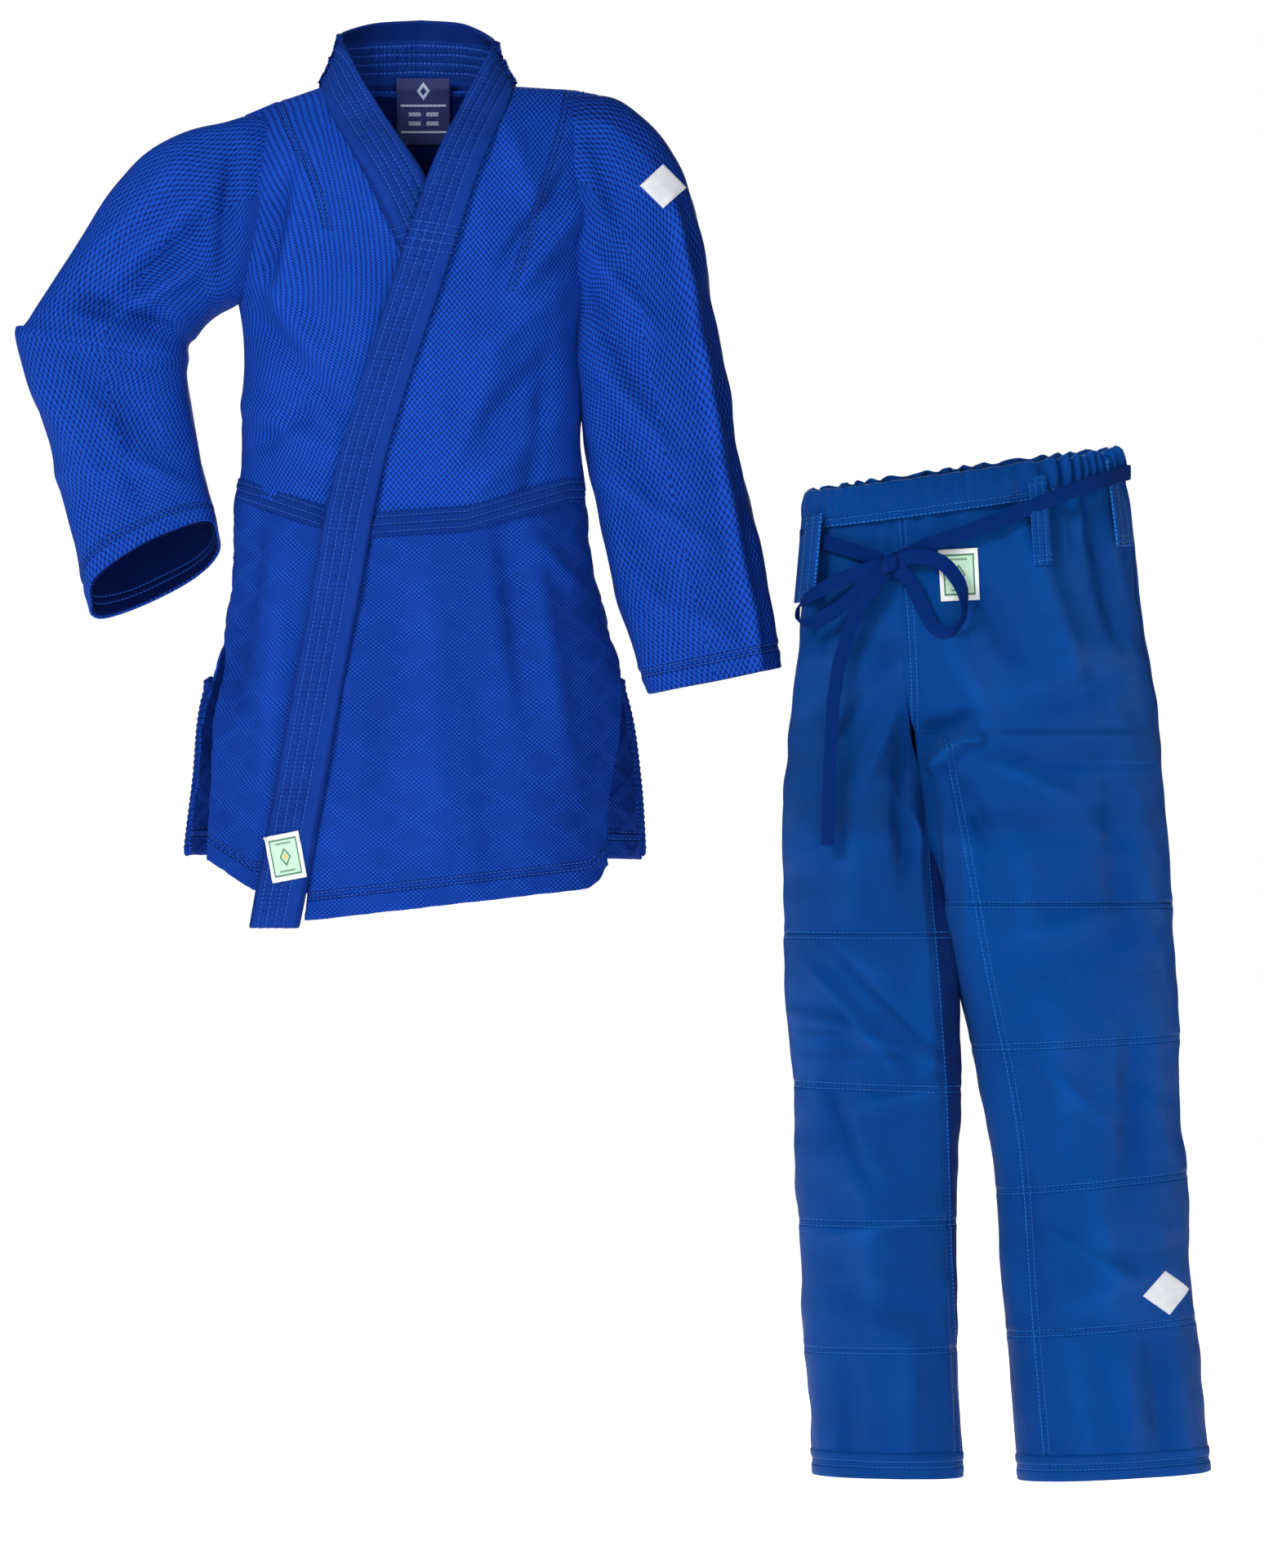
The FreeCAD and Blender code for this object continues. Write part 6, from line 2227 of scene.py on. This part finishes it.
@dataclass(frozen=True)
class Drawstring:
    """The flat tape, its bow and its knot."""

    shop: Workshop
    knot_at: Point3 = (0.4625, -0.0975, -0.4895)
    knot_half: Point3 = (0.0088, 0.0062, 0.0102)

    def build(self) -> None:
        """Make the five lengths of tape and the knot."""
        knot = self.knot()
        for tape in TAPES:
            thing = self.shop.add(tape.name, tape.mesh(), TAPE, SEAT, (tape.node,))
            line = tape.line(60)
            tape.length()

    def knot(self) -> bpy.types.Object:
        """Tape wrapped once round the crossing: a bent, pinched pad with creases.

        Returns:
            The knot.
        """
        turn = np.linspace(0, 2 * math.pi, 61)[None, :-1]
        s = np.linspace(-1, 1, 34)[:, None]
        round_end = np.sqrt(np.clip(1 - np.abs(s) ** 3.2, 0.02, 1))
        wrinkle = 1 + 0.05 * np.sin(turn * 5 + s * 4) + 0.04 * np.sin(turn * 9 - s * 7)
        half = self.knot_half
        x = self.knot_at[0] + half[0] * np.cos(turn) * round_end * wrinkle + 0.0022 * s
        y = self.knot_at[1] + half[1] * np.sin(turn) * round_end * wrinkle
        z = self.knot_at[2] + half[2] * s + 0.0016 * np.cos(turn)
        points = np.stack([x, y, z], axis=-1)
        mesh = capped_mesh("tape_knot", points, np.stack([turn * 0.008 + 0 * s, s * 0.01 + 0 * turn], -1))
        return self.shop.add("tape_knot", mesh, TAPE, SEAT, ("drawstring_knot",))


# ------------------------------------------------------------------ labels and patches
@dataclass(frozen=True)
class Badge:
    """A small flat piece laid on another piece: where, how wide and high, how turned."""

    name: str
    node: str
    centre: Point
    size: Point
    turn: float
    kind: Finish
    move: Move
    under: str
    diamond: bool = False
    lift: float = 0.0006
    cloth: float = 0.0009

    def make(self, shop: Workshop) -> None:
        """Lay the badge on the piece under it, by casting each point onto that piece; the printed label is
        instead placed just inside the back of the body.

        A diamond keeps the grid and draws its corners in, by |u| + |v| <= 1.

        Args:
            shop: the workshop with the pieces made so far.
        """
        s = np.linspace(-1, 1, 34)[None, :]
        t = np.linspace(1, -1, 44)[:, None]
        u, v = s + 0 * t, t + 0 * s
        if self.diamond:
            u, v = (s - t) / 2, (s + t) / 2
        cos, sin = math.cos(math.radians(self.turn)), math.sin(math.radians(self.turn))
        x = self.centre[0] + (u * self.size[0] * cos - v * self.size[1] * sin) / 2
        z = self.centre[1] + (u * self.size[0] * sin + v * self.size[1] * cos) / 2
        if self.kind is PRINTED:
            points = FORM.place(x, z, Face.BACK)
            points[..., 1] -= 0.0095
            weave = np.stack([x, -z], axis=-1)
            inside = Patch(points, weave, looking(x, -1.0), seam=np.stack([u, v], -1))
            shop.cloth(self.name, inside, self.cloth, self.kind, self.move, (self.node,))
            return
        base = next(piece for piece in shop.pieces if piece.name == self.under)
        tree = BVHTree.FromObject(base, bpy.context.evaluated_depsgraph_get())
        places, ahead = zip(x.ravel(), z.ravel()), Vector((0, 1, 0))
        hits = [tree.ray_cast(Vector((across, -0.5, up)), ahead)[0] for across, up in places]
        known = np.array([np.nan if hit is None else hit.y for hit in hits])
        known = np.where(np.isnan(known), np.nanmean(known), known).reshape(x.shape)
        y = known - (self.lift + self.cloth)
        for _ in range(3):
            y[1:-1, 1:-1] = (y[:-2, 1:-1] + y[2:, 1:-1] + y[1:-1, :-2] + y[1:-1, 2:]) / 4
        points = np.stack([x, y, z], axis=-1)
        weave = np.stack([u * self.size[0] / 2, v * self.size[1] / 2], axis=-1)
        patch = Patch(points, weave, looking(x, -1.0), seam=np.stack([u, v], axis=-1))
        # painted shade towards the badge's rolled edge; only the satin finish reads it
        edge = 1 - np.minimum(1 - np.abs(s), 1 - np.abs(t)) / 0.12
        patch.painted_shading = np.clip(edge, 0, 1) + 0 * u
        raise_folds(patch, 0.0006 * (1 - np.clip(edge, 0, 1) ** 2) * (1 if self.kind is SATIN else 0.3))
        shop.cloth(self.name, patch, self.cloth, self.kind, self.move, (self.node,))


BADGES = (
    Badge("label_lapel", "lapel_label", (-0.126, -0.775), (0.034, 0.045), 11.0, WOVEN, FLAP, "lapel_outer"),
    Badge("label_trousers", "trouser_label", (0.530, -0.500), (0.038, 0.050), 3.0, WOVEN, SEAT,
          "trouser_front_left"),
    Badge("label_neck", "size_label", (0.0040, -0.0360), (0.052, 0.064), 0.0, PRINTED, JACKET, "jacket_back"),
    Badge("patch_sleeve", "sleeve_patch", (0.2420, -0.1180), (0.046, 0.044), 0.0, SATIN,
          Move("left_sleeve_tube"), "sleeve_left", diamond=True),
    Badge("patch_leg", "leg_patch", (0.7360, -1.2024), (0.050, 0.044), 6.0, SATIN, Move("left_leg"),
          "trouser_front_left", diamond=True),
)


# ------------------------------------------------------------------ room
@dataclass(frozen=True)
class Lamp:
    """One square soft light: where it is, its power in watts and its side in metres."""

    name: str
    place: Point3
    power: float
    size: float


LAMPS = (
    Lamp("key", (-1.9, -3.3, 1.7), 150.0, 1.3),
    Lamp("fill", (1.2, -4.4, -0.2), 62.0, 1.8),
    Lamp("back", (0.4, 4.6, 0.8), 70.0, 2.2),
)


@dataclass(frozen=True)
class Room:
    """Floor, lights, world and camera."""

    floor_level: float = -1.45
    lit: Point3 = (0.2, 0.0, -0.7)
    eye: Point3 = (0.2112, -8.05, -0.704)
    lens: float = 187.5

    def build(self) -> None:
        """Set the room."""
        self.floor()
        self.lights()
        self.world()
        self.camera()

    def floor(self) -> None:
        """Pale floor below the hems."""
        board = Board("pale_floor")
        settings = {
            "Base Color": colour(0.9, 0.9, 0.9), "Roughness": 0.9,
            "Emission Color": colour(1, 1, 1), "Emission Strength": 1.0,
        }
        shader = board.node("ShaderNodeBsdfPrincipled", {}, settings)
        board.node("ShaderNodeOutputMaterial", {}, {"Surface": shader.outputs[0]})
        mesh = bpy.data.meshes.new("floor")
        level = self.floor_level
        mesh.from_pydata([(-4, -3, level), (5, -3, level), (5, 3, level), (-4, 3, level)], [], [(0, 1, 2, 3)])
        mesh.materials.append(board.material)
        thing = bpy.data.objects.new("floor", mesh)
        bpy.context.scene.collection.objects.link(thing)

    def lights(self) -> None:
        """Two large soft lights in front and a weaker one behind."""
        for lamp in LAMPS:
            light = bpy.data.lights.new(lamp.name, "AREA")
            light.energy, light.size = lamp.power, lamp.size
            thing = bpy.data.objects.new(lamp.name, light)
            thing.location = lamp.place
            aim = Vector(self.lit) - Vector(lamp.place)
            thing.rotation_euler = aim.to_track_quat("-Z", "Y").to_euler()
            bpy.context.scene.collection.objects.link(thing)

    def world(self) -> None:
        """White behind the object and a grey fill for everything else."""
        world = bpy.data.worlds.new("studio")
        world.use_nodes = True
        nodes, links = world.node_tree.nodes, world.node_tree.links
        nodes.clear()
        kinds = ("LightPath", "MixShader", "Background", "Background", "OutputWorld")
        path, mix, seen, fill, out = (nodes.new(f"ShaderNode{kind}") for kind in kinds)
        seen.inputs["Color"].default_value = colour(1, 1, 1)
        fill.inputs["Color"].default_value = colour(0.9, 0.95, 1.0)
        fill.inputs["Strength"].default_value = 0.16
        links.new(path.outputs["Is Camera Ray"], mix.inputs[0])
        links.new(fill.outputs[0], mix.inputs[1])
        links.new(seen.outputs[0], mix.inputs[2])
        links.new(mix.outputs[0], out.inputs[0])
        bpy.context.scene.world = world

    def camera(self) -> None:
        """Long lens straight at the front."""
        lens = bpy.data.cameras.new("camera")
        lens.lens = self.lens
        lens.clip_end = 50
        lens.dof.use_dof = False
        thing = bpy.data.objects.new("camera", lens)
        thing.location = self.eye
        thing.rotation_euler = (math.pi / 2, 0, 0)
        bpy.context.scene.collection.objects.link(thing)
        bpy.context.scene.camera = thing
        bpy.context.scene.view_settings.view_transform = "Standard"


def main() -> None:
    """Build every part of the uniform and the room round it."""
    logging.basicConfig(level=logging.INFO, format="%(name)s: %(message)s")
    shop = Workshop()
    JacketBody(shop).build()
    Lapels(shop).build()
    Sleeves(shop).build()
    Trousers(shop).build()
    Drawstring(shop).build()
    for badge in BADGES:
        badge.make(shop)
    Room().build()
    log.info("%d pieces", len(shop.pieces))


if __name__ == "__main__":
    main()
